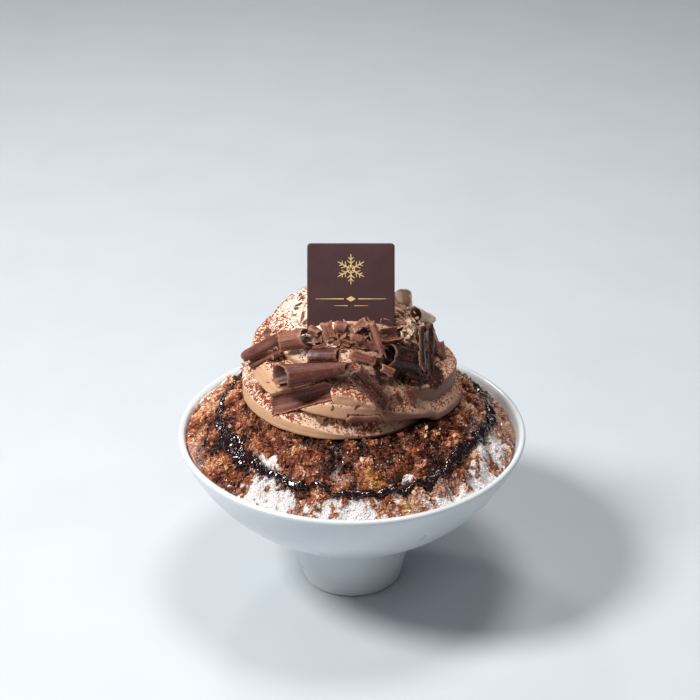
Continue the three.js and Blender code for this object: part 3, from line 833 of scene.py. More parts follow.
# Size, depth and seed of each kind of flake.
FLAKE_KINDS = [(6.5, 1.45, 46), (3.2, 0.85, 41), (1.5, 0.4, 51)]
FLAKE_STEP = 1.2
FLAKE_TILT = 1.4
SNOW_CALM = 0.7
WALL_CALM = 0.7
WALL_CALM_WIDTH = 3.0
# The radii between which the relief appears.
RELIEF_BEGINS = (40, 46)


def flake_relief(flat, size, seed):
    """Facets between -1 and 1, each with its own height and tilt."""
    home = np.floor(flat / size)
    nearest = np.full(flat.shape[:-1], np.inf)
    relief = np.zeros(flat.shape[:-1])
    for step in product((-1, 0, 1), repeat=2):
        cell = (home + step).astype(np.int64)
        chance = [lattice_value(cell, seed + k) for k in range(5)]
        centre = (cell + np.stack(chance[:2], axis=-1)) * size
        offset = (flat - centre) / size
        distance = (offset**2).sum(axis=-1)
        tilt = np.stack(chance[2:4], axis=-1) - 0.5
        facet = FLAKE_STEP * (chance[4] - 0.5) + FLAKE_TILT * (offset * tilt).sum(axis=-1)
        relief = np.where(distance < nearest, facet, relief)
        nearest = np.minimum(distance, nearest)
    return relief


def ice_relief(radius, azimuth):
    """How far the flakes stand above the even heap, in millimetres."""
    flat = round_point(radius, azimuth, 0.0)[..., :2]
    return sum(depth * flake_relief(flat, size, seed) for size, depth, seed in FLAKE_KINDS)


def rough_ice_height(radius, azimuth):
    """The top of the core with its flakes."""
    relief = ice_relief(radius, azimuth)
    in_snow = 1 - SNOW_CALM * in_patches(WHITE_PATCHES, radius, azimuth, 0.0)
    at_wall = 1 - WALL_CALM * ramp(-WALL_CALM_WIDTH, 0.0, radius - edge_radius(azimuth))
    return ice_height(radius, azimuth) + relief * in_snow * at_wall * ramp(*RELIEF_BEGINS, radius)


def build_ice_core():
    """The closed body of the heap, with what the syrup did stored on its points."""
    azimuths = np.arange(CORE_COLUMNS) * 360 / CORE_COLUMNS
    reach = np.linspace(0, 1, CORE_ROWS)[:, None]
    radius = lerp(CORE_INNER, edge_radius(azimuths), reach)
    top = round_point(radius, azimuths, rough_ice_height(radius, azimuths))
    middle = round_point(np.zeros((1, 1)), azimuths, SEAT_HEIGHT)
    buried = inner_wall(GAP)
    lowest_edge = ICE_EDGE_HEIGHT - ICE_EDGE_TILT
    buried = buried[buried[:, 1] < lowest_edge - BURIED_MARGIN][::-BURIED_ROW_STEP]
    under = round_point(buried[:, :1], azimuths, buried[:, 1:])
    bottom = round_point(np.zeros((1, 1)), azimuths, buried[-1, 1])
    rows = np.concatenate([middle, top, under, bottom])
    spot = np.hypot(rows[..., 0], rows[..., 1])
    bare, amber, light, coated = (value.ravel() for value in syrup_at(spot, azimuths))
    light = light * CORE_SHADE
    values = {"bare": bare, "amber": amber, "light": light, "coated": coated, "gloss": np.zeros_like(light)}
    faces = grid_faces(len(rows), CORE_COLUMNS, closed=True)
    return weld(add_piece("ice_core", rows.reshape(-1, 3), faces, **values))


ice_core = build_ice_core()
print("ice core:", len(ice_core.data.vertices), "points")

# %% [markdown]
# ## Loose grains
#
# What makes shaved ice read as ice is that every grain catches the light by itself. The core alone would
# look like plaster. Particles or instances would do in the viewport, but an export needs real mesh. So
# each kind of grain is one joined mesh of thousands of crystals. Every crystal is the same octahedron,
# with its corners shaken, two of its three sides shortened, and turned at random.

# %% A helper that makes broken crystals
CRYSTAL_CORNERS = np.array([(1, 0, 0), (-1, 0, 0), (0, 1, 0), (0, -1, 0), (0, 0, 1), (0, 0, -1)])
CORNER_SHAKE = 0.2
CRYSTAL_WIDTHS = (0.6, 1)
CRYSTAL_FACES = np.array([
    (0, 2, 4), (2, 1, 4), (1, 3, 4), (3, 0, 4), (2, 0, 5), (1, 2, 5), (3, 1, 5), (0, 3, 5),
])


def random_turns(chance, count):
    """Evenly spread random rotations, as matrices from random quaternions."""
    w, x, y, z = unit(chance.normal(size=(count, 4))).T
    rows = [
        (1 - 2 * (y * y + z * z), 2 * (x * y - w * z), 2 * (x * z + w * y)),
        (2 * (x * y + w * z), 1 - 2 * (x * x + z * z), 2 * (y * z - w * x)),
        (2 * (x * z - w * y), 2 * (y * z + w * x), 1 - 2 * (x * x + y * y)),
    ]
    return np.moveaxis(np.array(rows), -1, 0)


def crystals(chance, centres, sizes, flatness):
    """Uneven crystals round their centres. `flatness` is the range of their thinnest side."""
    count = len(centres)
    corners = CRYSTAL_CORNERS + chance.normal(0, CORNER_SHAKE, (count, *CRYSTAL_CORNERS.shape))
    widths = chance.uniform(*CRYSTAL_WIDTHS, count)
    stretch = np.stack([np.ones(count), widths, chance.uniform(*flatness, count)], axis=-1)
    turned = (corners * stretch[:, None]) @ random_turns(chance, count)
    points = centres[:, None] + sizes[:, None, None] * turned
    faces = CRYSTAL_FACES + len(CRYSTAL_CORNERS) * np.arange(count)[:, None, None]
    return points.reshape(-1, 3), faces.reshape(-1, 3)


def for_each_corner(values):
    """One value for each crystal, repeated for its corners."""
    return np.repeat(values, len(CRYSTAL_CORNERS))


print("a crystal has", len(CRYSTAL_FACES), "faces")

# %% [markdown]
# The grains are thrown on the heap at random, evenly over its area, and sorted by what the syrup did
# where they landed. White snow is finer than soaked ice, because the syrup melts the smallest grains and
# leaves thin flakes. Soaked ice is flat shaded, because broken ice has facets. Snow is shaded smooth and
# sunk deeper, so it looks soft. Many more white grains are thrown than stay, since only those that land
# in a bare patch are kept.

# %% Scatter the grains on the heap
GRAIN_KINDS = {
    "soaked_grains": {
        "count": 26000, "white": False, "sizes": (0.28, 0.75), "flatness": (0.4, 0.85), "sink": 0.1,
    },
    "soaked_flakes": {
        "count": 5500, "white": False, "sizes": (0.8, 1.5), "flatness": (0.2, 0.45), "sink": 0.1,
    },
    "bare_grains": {
        "count": 80000, "white": True, "sizes": (0.25, 0.65), "flatness": (0.7, 1.0), "sink": 0.5,
    },
}
GRAIN_SEED = 101
GRAIN_INNER = 43.0
WALL_MARGIN = 0.9
GAP_SHADE = 0.3
GRAIN_DRIFT = 0.12
RARE_AMBER = 0.05
RARE_PALE = 0.04
AMBER_GRAIN = 0.7
PALE_GRAIN = (0.2, 0.6)
GLOSSY_SHARE = 0.13
# How bare the ice has to be for a white grain. Each grain has a limit of its own in this range.
BARE_LIMITS = (0.3, 0.7)
# A power above 1 makes small grains more common than large ones.
SMALLER_MORE = 1.5
GRAIN_RISE = 0.7


def grain_syrup(chance, radius, azimuth):
    """What the syrup did at each grain. A few grains differ from those round them."""
    bare, amber, light, coated = syrup_at(radius, azimuth)
    count = len(radius)
    rare = chance.uniform(size=count)
    amber = np.where(rare < RARE_AMBER, AMBER_GRAIN, amber)
    bare = np.where(rare > 1 - RARE_PALE, np.maximum(bare, chance.uniform(*PALE_GRAIN, count)), bare)
    light = light + GAP_SHADE * ice_relief(radius, azimuth)
    light = np.clip(light + chance.normal(0, GRAIN_DRIFT, count), 0, 1)
    gloss = (chance.uniform(size=count) < GLOSSY_SHARE) * 1.0
    return {"bare": bare, "amber": amber, "light": light, "coated": coated, "gloss": gloss}


def scatter_grains(seed, name, count, white, sizes, flatness, sink):
    """One kind of grain as a joined mesh, kept only where the ice is as it needs."""
    chance = np.random.default_rng(seed)
    azimuth = chance.uniform(0, 360, count)
    outer = edge_radius(azimuth) - WALL_MARGIN
    radius = np.sqrt(lerp(GRAIN_INNER**2, outer**2, chance.uniform(size=count)))
    values = grain_syrup(chance, radius, azimuth)
    keep = (values["bare"] > chance.uniform(*BARE_LIMITS, count)) == white
    radius, azimuth = radius[keep], azimuth[keep]
    size = lerp(*sizes, chance.uniform(size=len(radius)) ** SMALLER_MORE)
    height = rough_ice_height(radius, azimuth) + size * (chance.uniform(0, GRAIN_RISE, len(size)) - sink)
    points, faces = crystals(chance, round_point(radius, azimuth, height), size, flatness)
    each = {label: for_each_corner(value[keep]) for label, value in values.items()}
    return add_piece(name, points, faces, smooth=white, **each)


grains = [
    scatter_grains(seed, name, **kind) for seed, (name, kind) in enumerate(GRAIN_KINDS.items(), GRAIN_SEED)
]
print("grains:", {piece.name: len(piece.data.polygons) // len(CRYSTAL_FACES) for piece in grains})

# %% [markdown]
# ## The finish of the ice
#
# One recipe serves the core and the grains, because the difference between them is stored on their
# points. Soaked ice runs from a near black brown in the gaps to a pale tan on thin crystals. Bare ice is
# white, with warm and cool patches. Ice is wet, but it doesn't gleam all over. A sharp coat lies over
# the softer body, strong on the few grains that were picked as glossy, weaker under the sauce and faint
# on the rest. A little subsurface light softens the white snow. A glass shader would be truer for one
# crystal, but in thousands of touching grains it only costs time and turns grey.

# %% Finish the ice
SOAKED_COLOURS = (
    (0.0, colour(30, 12, 12)),
    (0.25, colour(86, 42, 27)),
    (0.5, colour(143, 76, 47)),
    (0.75, colour(184, 118, 82)),
    (1.0, colour(226, 186, 154)),
)
SAUCE_WET = 0.3
COAT_RANGE = (0.06, 1.0)
WET_SMOOTHS = 0.25


def make_ice():
    constants = {
        "IOR": 1.33,
        "Coat Roughness": 0.08,
        "Specular IOR Level": 0.4,
        "Subsurface Weight": 0.15,
        "Subsurface Radius": (1.0, 0.8, 0.7),
        "Subsurface Scale": 1.0 * MM,
    }
    material, tree, shader = new_material("shaved_ice", constants)
    names = ("bare", "amber", "light", "coated", "gloss")
    bare, amber, light, coated, gloss = (stored(tree, name) for name in names)
    light = reckon(tree, "ADD", light, mottle(tree, 0.8, low=-0.12, high=0.12))
    brown = ramp_colours(tree, light, *SOAKED_COLOURS)
    gold = blend_colours(tree, light, colour(150, 90, 38), colour(228, 176, 104))
    patches = mottle(tree, 3.0, low=-0.3, high=1.1)
    tint = blend_colours(tree, patches, colour(220, 206, 197), colour(230, 233, 242))
    white = blend_colours(tree, light, tint, colour(238, 237, 240))
    base = blend_colours(tree, amber, brown, gold)
    base = blend_colours(tree, bare, base, white)
    base = blend_colours(tree, coated, base, colour(38, 15, 14))
    wet = reckon(tree, "MAXIMUM", gloss, reckon(tree, "MULTIPLY", coated, SAUCE_WET))
    coat = spread(tree, wet, 0.0, 1.0, *COAT_RANGE)
    dry_rough = mottle(tree, 1.5, low=0.42, high=0.64)
    rough = reckon(tree, "SUBTRACT", dry_rough, reckon(tree, "MULTIPLY", wet, WET_SMOOTHS))
    feed(tree, shader, base=base, rough=rough, coat=coat, normal=bump(tree, mottle(tree, 0.5), depth=0.05))
    return material


ice_finish = make_ice()
dress(ice_core, ice_finish, "ice", "shaved_ice")
for piece in grains:
    dress(piece, ice_finish, "ice")

# %% [markdown]
# ## The ring of sauce
#
# The thick sauce was squeezed out in a ring. It sank in between the grains, broke up where it ran thin
# and swelled into glossy blobs where the hand paused. Metaballs would merge such drops, but they are slow
# and hard to lay on a slope. Here the ribbon is a height over the ice. It is full along its middle and
# falls off to its sides, noise is added, and only what stays above zero becomes sauce. The root of that
# height gives it the steep round edge of a real drop, and soft dents keep its top from being even. The
# Solidify modifier closes it underneath.

# %% Squeeze the sauce onto the ice
SAUCE_SPAN = 6.0
SAUCE_COLUMNS = 1400
SAUCE_ROWS = 44
SAUCE_DEPTH = 1.3
SAUCE_SINK = 0.3
SAUCE_SKIN = 0.8
# Layers of noise, each with its depth, size and seed.
SAUCE_MEANDER = [(0.9, 9.0, 61)]
SAUCE_SWELL = [(0.3, 7.0, 64)]
SAUCE_BREAKS = [(0.95, 2.6, 62), (0.5, 1.3, 63)]
SAUCE_DENTS = [(0.34, 3.4, 65), (0.08, 1.3, 66)]
# How steeply a drop rises at its edge.
DROP_STEEPNESS = 1.3


def build_sauce():
    """The upper face of the sauce, with holes where the ribbon ran out."""
    azimuths = np.arange(SAUCE_COLUMNS) * 360 / SAUCE_COLUMNS
    offsets = np.linspace(-SAUCE_SPAN, SAUCE_SPAN, SAUCE_ROWS)[:, None]
    radius = sauce_radius(azimuths) + offsets
    flat = round_point(radius, azimuths, 0.0)[..., :2]
    meander = layered_noise(flat, SAUCE_MEANDER)
    swell = 1 + layered_noise(flat, SAUCE_SWELL)
    distance = np.abs(offsets + meander) / (sauce_half_width(azimuths) * swell)
    full = 1 - distance**2 + layered_noise(flat, SAUCE_BREAKS)
    depth = SAUCE_DEPTH * swell * np.sqrt(np.clip(1 - np.exp(-DROP_STEEPNESS * full), 0, 1))
    sunk = (ice_height(radius, azimuths) + rough_ice_height(radius, azimuths)) / 2 - SAUCE_SINK
    height = sunk + depth * (1 + layered_noise(flat, SAUCE_DENTS))
    points = np.concatenate([flat, height[..., None]], axis=-1).reshape(-1, 3)
    faces = grid_faces(SAUCE_ROWS, SAUCE_COLUMNS, closed=True)
    wet = depth.ravel() > 0.0
    faces = faces[wet[faces].all(axis=1)]
    used, faces = np.unique(faces, return_inverse=True)
    return add_piece("sauce", points[used], faces.reshape(-1, 4))


sauce = build_sauce()
thickness = sauce.modifiers.new("thickness", "SOLIDIFY")
thickness.thickness = SAUCE_SKIN * MM
thickness.offset = -1
apply_modifiers(sauce)
print("sauce:", len(sauce.data.vertices), "points")

# %% [markdown]
# A sauce of chocolate and fruit cooked down is almost black, with a trace of purple. Nearly all of its
# look is gloss. A plain black with no roughness would look like glass, so the body keeps a little colour
# that drifts, the gloss drifts too, and a soft bump helps the dents to break the lights into glints.

# %% Finish the sauce
def make_sauce():
    constants = {"IOR": 1.45, "Coat Weight": 0.6, "Coat Roughness": 0.04}
    material, tree, shader = new_material("thick_sauce", constants)
    base = blend_colours(tree, mottle(tree, 3.0), colour(14, 5, 10), colour(44, 13, 20))
    rough = mottle(tree, 2.0, low=0.06, high=0.14)
    feed(tree, shader, base=base, rough=rough, normal=bump(tree, mottle(tree, 2.5), depth=0.03))
    return material


dress(sauce, make_sauce(), "ice")

# %% [markdown]
# ## The piped cream
#
# The cream is one thick ribbon piped round and round over a mound, climbing to a point that leans back.
# It could be swept along a spiral curve, but a sweep would leave gaps between the turns. Here the ribbon
# is a grid on the mound instead: one axis follows the turns and the other runs across the ribbon,
# between two creases. The mound is a leaning half ellipsoid, and a place on it is an azimuth and how far
# up it lies. The curls use the same mound later, so they can't miss the cream.

# %% The mound under the cream
CREAM_X = -2.0
CREAM_Y = 1.0
CREAM_RADIUS = 42.0
CREAM_RISE = 43.5
CREAM_LEAN = 8.0
CREAM_BASE = SEAT_HEIGHT + GAP


def mound_point(up, azimuth):
    """The mound that the ribbon covers, from its base (0) to its tip (1)."""
    rise = np.sin(up * math.pi / 2)
    point = round_point(CREAM_RADIUS * np.cos(up * math.pi / 2), azimuth, CREAM_BASE + CREAM_RISE * rise)
    lean = np.stack(np.broadcast_arrays(CREAM_X, CREAM_Y + CREAM_LEAN * rise, 0.0), axis=-1)
    return point + lean


def mound_normal(up, azimuth):
    """The way out of the mound at a place on it."""
    angle = up * math.pi / 2
    return unit(round_point(np.cos(angle) / CREAM_RADIUS, azimuth, np.sin(angle) / CREAM_RISE))


print("mound from", CREAM_BASE, "to", mound_point(1.0, FRONT)[2].round(1), "mm high")

# %% [markdown]
# Piped cream isn't a round sausage. Across its width the ribbon has an upright face, a crisp edge and a
# long slope behind it, and it twists, so the edge wanders up and down as the ribbon runs on. Where it
# doubled up there is a second, smaller fold. The edge is the meeting of two straight lines, rounded by a
# soft minimum, because a hard minimum would be as sharp as paper.

# %% The section of the ribbon
CREAM_TURNS = 3.25
CREAM_START = 322.0
ROLL_DEPTH = 6.0
TIP_DEPTH = 3.0
EDGE_REACH = 1.15
FACE_FOOT = 0.11
FACE_LEAN = (0.84, 1.08)
EDGE_SOFTNESS = 0.045
# Turns along the ribbon and how far across it the crisp edge runs.
EDGE_COURSE = [
    (0.0, 0.3), (0.08, 0.32), (0.14, 0.36), (0.2, 0.62), (0.35, 0.6), (0.55, 0.5), (0.75, 0.4), (0.9, 0.24),
    (0.98, 0.15), (1.03, 0.16), (1.09, 0.36), (1.14, 0.66), (1.22, 0.74), (1.4, 0.6), (1.85, 0.5), (2.2, 0.6),
    (CREAM_TURNS + 1, 0.6),
]
# Turns at which the second fold begins, is full, fades and ends.
FOLD_TURNS = (0.7, 0.8, 1.0, 1.07)
FOLD_FOOT = 0.4
FOLD_EDGE = 0.52
FOLD_REACH = 0.95
LIP_DEPTH = 4.0
LIP_AZIMUTH = 345.0
LIP_SPREAD = 45
LIP_BEGINS = (0.6, 0.9)
LIP_ENDS = (1.1, 1.4)


def crease_up(turns):
    """How far up the mound the crease above the ribbon lies."""
    turns = np.clip(turns, 0, CREAM_TURNS)
    return np.where(turns < 1, np.sqrt(turns), turns) / CREAM_TURNS


def lip_depth(turns, azimuth):
    """How far the ribbon stands out where its second turn begins."""
    nearness = 1 - ramp(0, LIP_SPREAD, azimuth_gap(azimuth, LIP_AZIMUTH))
    return LIP_DEPTH * nearness * ramp(*LIP_BEGINS, turns) * (1 - ramp(*LIP_ENDS, turns))


def ribbon_section(across, edge, softness):
    """How far the ribbon stands out across its width, as a share of its depth."""
    foot = np.sin(np.clip(across / FACE_FOOT, 0, 1) * math.pi / 2)
    face = foot * lerp(*FACE_LEAN, across / edge)
    slope = (1 - across) / (1 - edge)
    both = np.exp(-face / softness) + np.exp(-slope / softness)
    return np.clip(-softness * np.log(both), 0, None)


def fold_section(turns, across):
    """The second, smaller fold, behind the edge at the right."""
    begin, full, fade, end = FOLD_TURNS
    presence = ramp(begin, full, turns) * (1 - ramp(fade, end, turns))
    own = np.clip((across - FOLD_FOOT) / (1 - FOLD_FOOT), 0, 1)
    return FOLD_REACH * presence * ribbon_section(own, FOLD_EDGE, EDGE_SOFTNESS)


peak = float(ribbon_section(np.linspace(0, 1, 101), FOLD_EDGE, EDGE_SOFTNESS).max())
print("at the foot of the swirl the edge stands out by", round(peak * ROLL_DEPTH * EDGE_REACH, 1), "mm")

# %% [markdown]
# The grid puts the section on the mound. Soft lumps and fine drag lines are added where the ribbon
# swells, so the creases stay closed. The drag lines follow the ribbon, because the nozzle left them, and
# the same run along the ribbon is stored for the shader. The flat underside is closed with a fan of
# triangles.

# %% Pipe the ribbon
CREAM_COLUMNS = 288
CREAM_ROWS = 34
FULL_AT = 0.7
WANDER_STEPS = 9
WANDER_SEED = 75
EDGE_WANDER = 0.08
SOFTNESS_WANDER = 0.5
# The run along the ribbon and across it, in millimetres, as the drag lines and streaks see it.
FLOW_RADIUS = 30
FLOW_WIDTH = 14
CREAM_LUMPS = [(0.55, 11, 71), (0.22, 4, 72)]
# How much longer than wide the drag lines are, and their layer of noise.
DRAG_LINES = [(16, (0.16, 1.0, 73)), (9, (0.07, 0.4, 74))]


def ribbon_points(turns, across):
    """Places on the ribbon. `across` is 0 at its lower crease and 1 at its upper one."""
    azimuth = CREAM_START - 360 * (turns % 1)
    low, high = crease_up(turns - 1), crease_up(turns)
    up = lerp(low, high, across)
    fullness = ramp(0, FULL_AT, (high - low) * CREAM_TURNS)
    depth = (EDGE_REACH * lerp(ROLL_DEPTH, TIP_DEPTH, up) + lip_depth(turns, azimuth)) * fullness
    wander = soft_noise(np.stack([turns * WANDER_STEPS, 0 * turns], axis=-1), 1.0, WANDER_SEED)
    edge = np.interp(turns, *np.array(EDGE_COURSE).T) * (1 + EDGE_WANDER * wander)
    bulge = ribbon_section(across, edge, EDGE_SOFTNESS * (1 + SOFTNESS_WANDER * wander))
    bulge = np.maximum(bulge, fold_section(turns, across))
    outward = mound_normal(up, azimuth)
    smooth = mound_point(up, azimuth) + outward * (depth * bulge)[..., None]
    run = np.broadcast_to(turns * 2 * math.pi * FLOW_RADIUS, up.shape)
    flow = np.stack([run, across * FLOW_WIDTH + 0 * run, 0 * run], axis=-1)
    uneven = layered_noise(smooth, CREAM_LUMPS)
    drag = sum(layered_noise(flow * [1 / longer, 1, 1], [layer]) for longer, layer in DRAG_LINES)
    return smooth + outward * (fullness * bulge * (uneven + drag))[..., None], flow


def close_underside(piece, rim_start):
    """A fan of triangles from the rim of the first turn to the last point, the middle of the underside."""
    work = bmesh.new()
    work.from_mesh(piece.data)
    work.verts.ensure_lookup_table()
    for corner in range(rim_start, rim_start + CREAM_COLUMNS):
        face = work.faces.new([work.verts[corner], work.verts[corner + 1], work.verts[-1]])
        face.smooth = True
    work.to_mesh(piece.data)
    work.free()


def build_swirl():
    """The whole ribbon as one closed body, with its run stored on the points."""
    steps = round((CREAM_TURNS + 1) * CREAM_COLUMNS)
    turns = np.arange(steps + 1) / CREAM_COLUMNS
    across = np.linspace(1, 0, CREAM_ROWS)[:, None]
    rows, flow = ribbon_points(np.broadcast_to(turns, (CREAM_ROWS, len(turns))), across)
    points = np.concatenate([rows.reshape(-1, 3), [[CREAM_X, CREAM_Y, CREAM_BASE]]])
    flow = np.concatenate([flow.reshape(-1, 3), np.zeros((1, 3))])
    piece = add_piece("piped_cream", points, grid_faces(CREAM_ROWS, len(turns)), flow=flow)
    close_underside(piece, (CREAM_ROWS - 1) * len(turns))
    return weld(piece)


cream = build_swirl()
print("swirl:", len(cream.data.vertices), "points")

# %% [markdown]
# ## Where the curls lie
#
# The curls come before the cream is finished, because the heavier ones press their shape into it. They
# could be dropped by a physics run, but then none would lie where it is wanted, so each is placed one by
# one. Its two ends are places on the mound, as azimuth and height, and `lift` is how far they stand off
# it. `radius` and `arc` are its bend, `taper` is the ratio of its two ends, `roll` turns it about its own
# axis, and `cut` and `far_cut` slant its ends. `bed` is the play round a closed curl in the cream, and
# `tone` runs from dark chocolate (0) to the palest (1). The near black tones of the curls in the shaded
# pile at the right are partly dark chocolate and partly painted shade, and the palest, on the two curls
# beside the plaque, are partly their own colour and partly painted light where the plaque shades them.
# The order is that of the imported curls.

# %% Where the curls lie
USUAL_CURL = {"roll": 0, "taper": 0.9, "cut": 0, "far_cut": 0, "tone": 0.3, "bed": 0.15}


def lay(start, end, **shape):
    """One curl between two places on the mound. What isn't given keeps its usual value."""
    return {**USUAL_CURL, "from": start, "to": end, **shape}


# Near black tones on the right and the tones 0.8 and 1 beside the plaque also carry painted shade and light.
curls = [
    lay((217, 130), (193, 117), lift=(5.2, 5.2), radius=3.1, arc=440, roll=70, cut=-0.3, far_cut=-0.7),
    lay((220, 127.5), (192, 113.5), lift=(1.2, 1.2), radius=1.2, arc=330, taper=1, bed=2.2),
    lay((220, 129.5), (238, 133), lift=(5, 5.4), radius=4, arc=230, taper=1, tone=0.4),
    lay((241, 128.5), (264, 130), lift=(0.1, 0.5), radius=4, arc=160, roll=25, tone=0.12),
    lay((233, 120.5), (269, 126.5), lift=(8.6, 4.8), radius=6.2, arc=440, roll=370,
        taper=0.5, cut=0.7, tone=0.2),
    lay((224, 107.5), (260, 119), lift=(2.6, 2.6), radius=4.6, arc=150, roll=180),
    lay((274, 125.5), (292, 112), lift=(3.8, 3.4), radius=13, arc=34, taper=1, tone=0.02),
    lay((281, 127.5), (298, 122), lift=(1.2, 0.2), radius=7, arc=30),
    lay((297, 128.5), (318, 123.5), lift=(4, 3), radius=5.4, arc=230, tone=0),
    lay((353, 129), (326, 116), lift=(3.6, 2), radius=6, arc=46, roll=-20, tone=0),
    lay((332, 131.5), (311, 121.5), lift=(7, 11.5), radius=6, arc=42, roll=10, taper=1, tone=0),
    lay((343, 139.5), (345, 137.5), lift=(9, 4), radius=4.2, arc=220, roll=75,
        taper=0.6, far_cut=0.7, tone=1),
    lay((350, 134.5), (17, 124.5), lift=(1.5, 2.4), radius=3.9, arc=300, roll=20,
        taper=0.45, cut=0.8, tone=0.8),
    lay((250, 137.5), (256, 134.5), lift=(6.5, 4.5), radius=8, arc=38),
    lay((274, 136.5), (288, 138), lift=(5.6, 7), radius=9, arc=25, roll=20, taper=1),
    lay((290, 137), (292, 128), lift=(9, 8), radius=1.3, arc=200),
    lay((297, 134), (312, 133), lift=(6.8, 6.6), radius=3, arc=200, roll=180, taper=1, tone=0.45),
    lay((265, 133), (289, 132), lift=(0.8, 0.8), radius=1.3, arc=300),
    lay((272, 130.5), (289, 128), lift=(4.4, 3.4), radius=10, arc=30, roll=10),
    lay((270, 108.5), (288, 108), lift=(0.5, 0.5), radius=1.4, arc=240),
    lay((307, 116.5), (308, 110.5), lift=(2, 2), radius=6, arc=40, roll=-30, taper=1, tone=0.05),
    lay((298, 116), (303, 111), lift=(0.4, 0.4), radius=7, arc=36, roll=20),
    lay((359, 120.5), (351, 113), lift=(2, 1), radius=4.5, arc=110, tone=0.4),
    lay((237, 135.5), (246, 135), lift=(4.6, 4), radius=2.1, arc=230, roll=30),
    lay((259, 137.5), (269, 137), lift=(5, 5), radius=2.2, arc=200),
    lay((272, 134.5), (281, 134), lift=(4.6, 4.2), radius=2.2, arc=260, roll=90),
    lay((183, 126), (203, 131), lift=(1, 2), radius=5, arc=50),
    lay((290, 125.5), (297, 123), lift=(6.5, 6.5), radius=4, arc=60),
]
tones = [curl["tone"] for curl in curls]
print("curls:", len(curls), "tones from", min(tones), "to", max(tones))

# %% [markdown]
# Two helpers turn that list into places. The ribbon stands out unevenly, so the first helper takes four
# fifths of its depth as the outside of the cream and adds the lift to it. The second gives each curl axes
# of its own: one along it, one out of the cream and one to the side. It returns a function, so the curl,
# its bed and its streaks are all laid out by the same rule.

# %% Put a curl on the mound
ROLL_COVER = 0.8


def mounted_at(place, lift):
    """The place on the outside of the mound at an azimuth and a height, and the way out from it."""
    azimuth, height = place
    rise = min(1.0, (height - CREAM_BASE) / (CREAM_RISE + TIP_DEPTH))
    up = math.asin(rise) / (math.pi / 2)
    outward = mound_normal(up, azimuth)
    return mound_point(up, azimuth) + outward * (ROLL_COVER * lerp(ROLL_DEPTH, TIP_DEPTH, up) + lift), outward


def curl_frame(curl):
    """A curl's length, and a function that puts `x` along it, a radius and a bend in their place."""
    start, start_out = mounted_at(curl["from"], curl["lift"][0])
    end, end_out = mounted_at(curl["to"], curl["lift"][1])
    middle = (start + end) / 2
    length = np.linalg.norm(end - start)
    along = (end - start) / length
    side = unit(np.cross(start_out + end_out, along))
    out = np.cross(along, side)

    def place(x, radius, bend):
        x, y, z = np.broadcast_arrays(x, radius * np.sin(bend), radius * np.cos(bend))
        return middle + x[..., None] * along + y[..., None] * side + z[..., None] * out

    return length, place


lengths = [curl_frame(curl)[0] for curl in curls]
print("curls from", round(min(lengths), 1), "to", round(max(lengths), 1), "mm long")

# %% [markdown]
# ## The collar and the beds
#
# A collar of cream holds the plaque, and the heavier curls have pressed round beds into the swirl. Both
# are Boolean modifiers: one joins the collar, one cuts all the beds at once from a collection. The
# MANIFOLD solver needs closed bodies, which these are, and takes a fraction of the time of the EXACT one.
# Only curls that bend far round get a bed. An open sheet lies on the cream as it is.

# %% Join the collar and cut the beds
PLAQUE_FOOT = np.array([-0.5, -13.7, 136.1])
COLLAR_HALF_SIZES = np.array([19.0, 6.0, 5.0])
COLLAR_RINGS = 24
COLLAR_SIDES = 48
COLLAR_LUMPS = [(0.5, 5, 81)]
CLOSED_ARC = 150
SHEET = 1.0
BED_SIDES = 32


def build_collar():
    """An uneven cushion of cream, longer than it is wide."""
    angles = np.radians(np.linspace(-90, 90, COLLAR_RINGS + 1))
    points, faces = lathe(np.stack([np.cos(angles), np.sin(angles)], axis=-1), COLLAR_SIDES)
    points = points * COLLAR_HALF_SIZES
    points = points + unit(points) * layered_noise(points, COLLAR_LUMPS)[:, None]
    return weld(add_piece("collar", points + PLAQUE_FOOT, faces))


def build_bed(number, curl):
    """The round that a closed curl presses out of the cream."""
    length, place = curl_frame(curl)
    bend = np.arange(BED_SIDES) * 2 * math.pi / BED_SIDES
    x = np.array([-0.5, -0.5, 0.5, 0.5])[:, None] * length
    radius = np.array([0.0, 1.0, curl["taper"], 0.0])[:, None]
    radius = np.where(radius > 0, radius * curl["radius"] + SHEET / 2 + curl["bed"], 0.0)
    faces = grid_faces(len(x), BED_SIDES, closed=True)
    return weld(add_piece(f"bed_{number:02d}", place(x, radius, bend).reshape(-1, 3), faces))


def combine(piece, operation, others):
    """Joins other bodies to a piece or cuts them from it, and removes them."""
    collection = bpy.data.collections.new("operands")
    bpy.context.scene.collection.children.link(collection)
    for other in others:
        bpy.context.scene.collection.objects.unlink(other)
        collection.objects.link(other)
    modifier = piece.modifiers.new("combine", "BOOLEAN")
    modifier.operation = operation
    modifier.solver = "MANIFOLD"
    modifier.operand_type = "COLLECTION"
    modifier.collection = collection
    apply_modifiers(piece)
    for other in others:
        bpy.data.objects.remove(other)
    bpy.data.collections.remove(collection)


combine(cream, "UNION", [build_collar()])
closed_curls = [(number, curl) for number, curl in enumerate(curls) if curl["arc"] >= CLOSED_ARC]
combine(cream, "DIFFERENCE", [build_bed(number, curl) for number, curl in closed_curls])
print("cream:", len(cream.data.vertices), "points after the Booleans")

# %% [markdown]
# ## Cocoa on the cream
#
# Cocoa is sieved over the cream from above, so it lies where the cream faces up, in uneven drifts, and
# the steep faces stay clean. The slope is worked out here from the mesh's own normals and stored on the
# points. The shader uses it for the fine dust, and the crumbs are scattered by it, so both agree.
#
# Two more values are stored, and both paint light and shade. Towards the front right, which lies in
# shade, the cream is painted a darker brown, and its upper left, which faces the main light, is painted
# nearly white. Less cocoa reached the top, too.

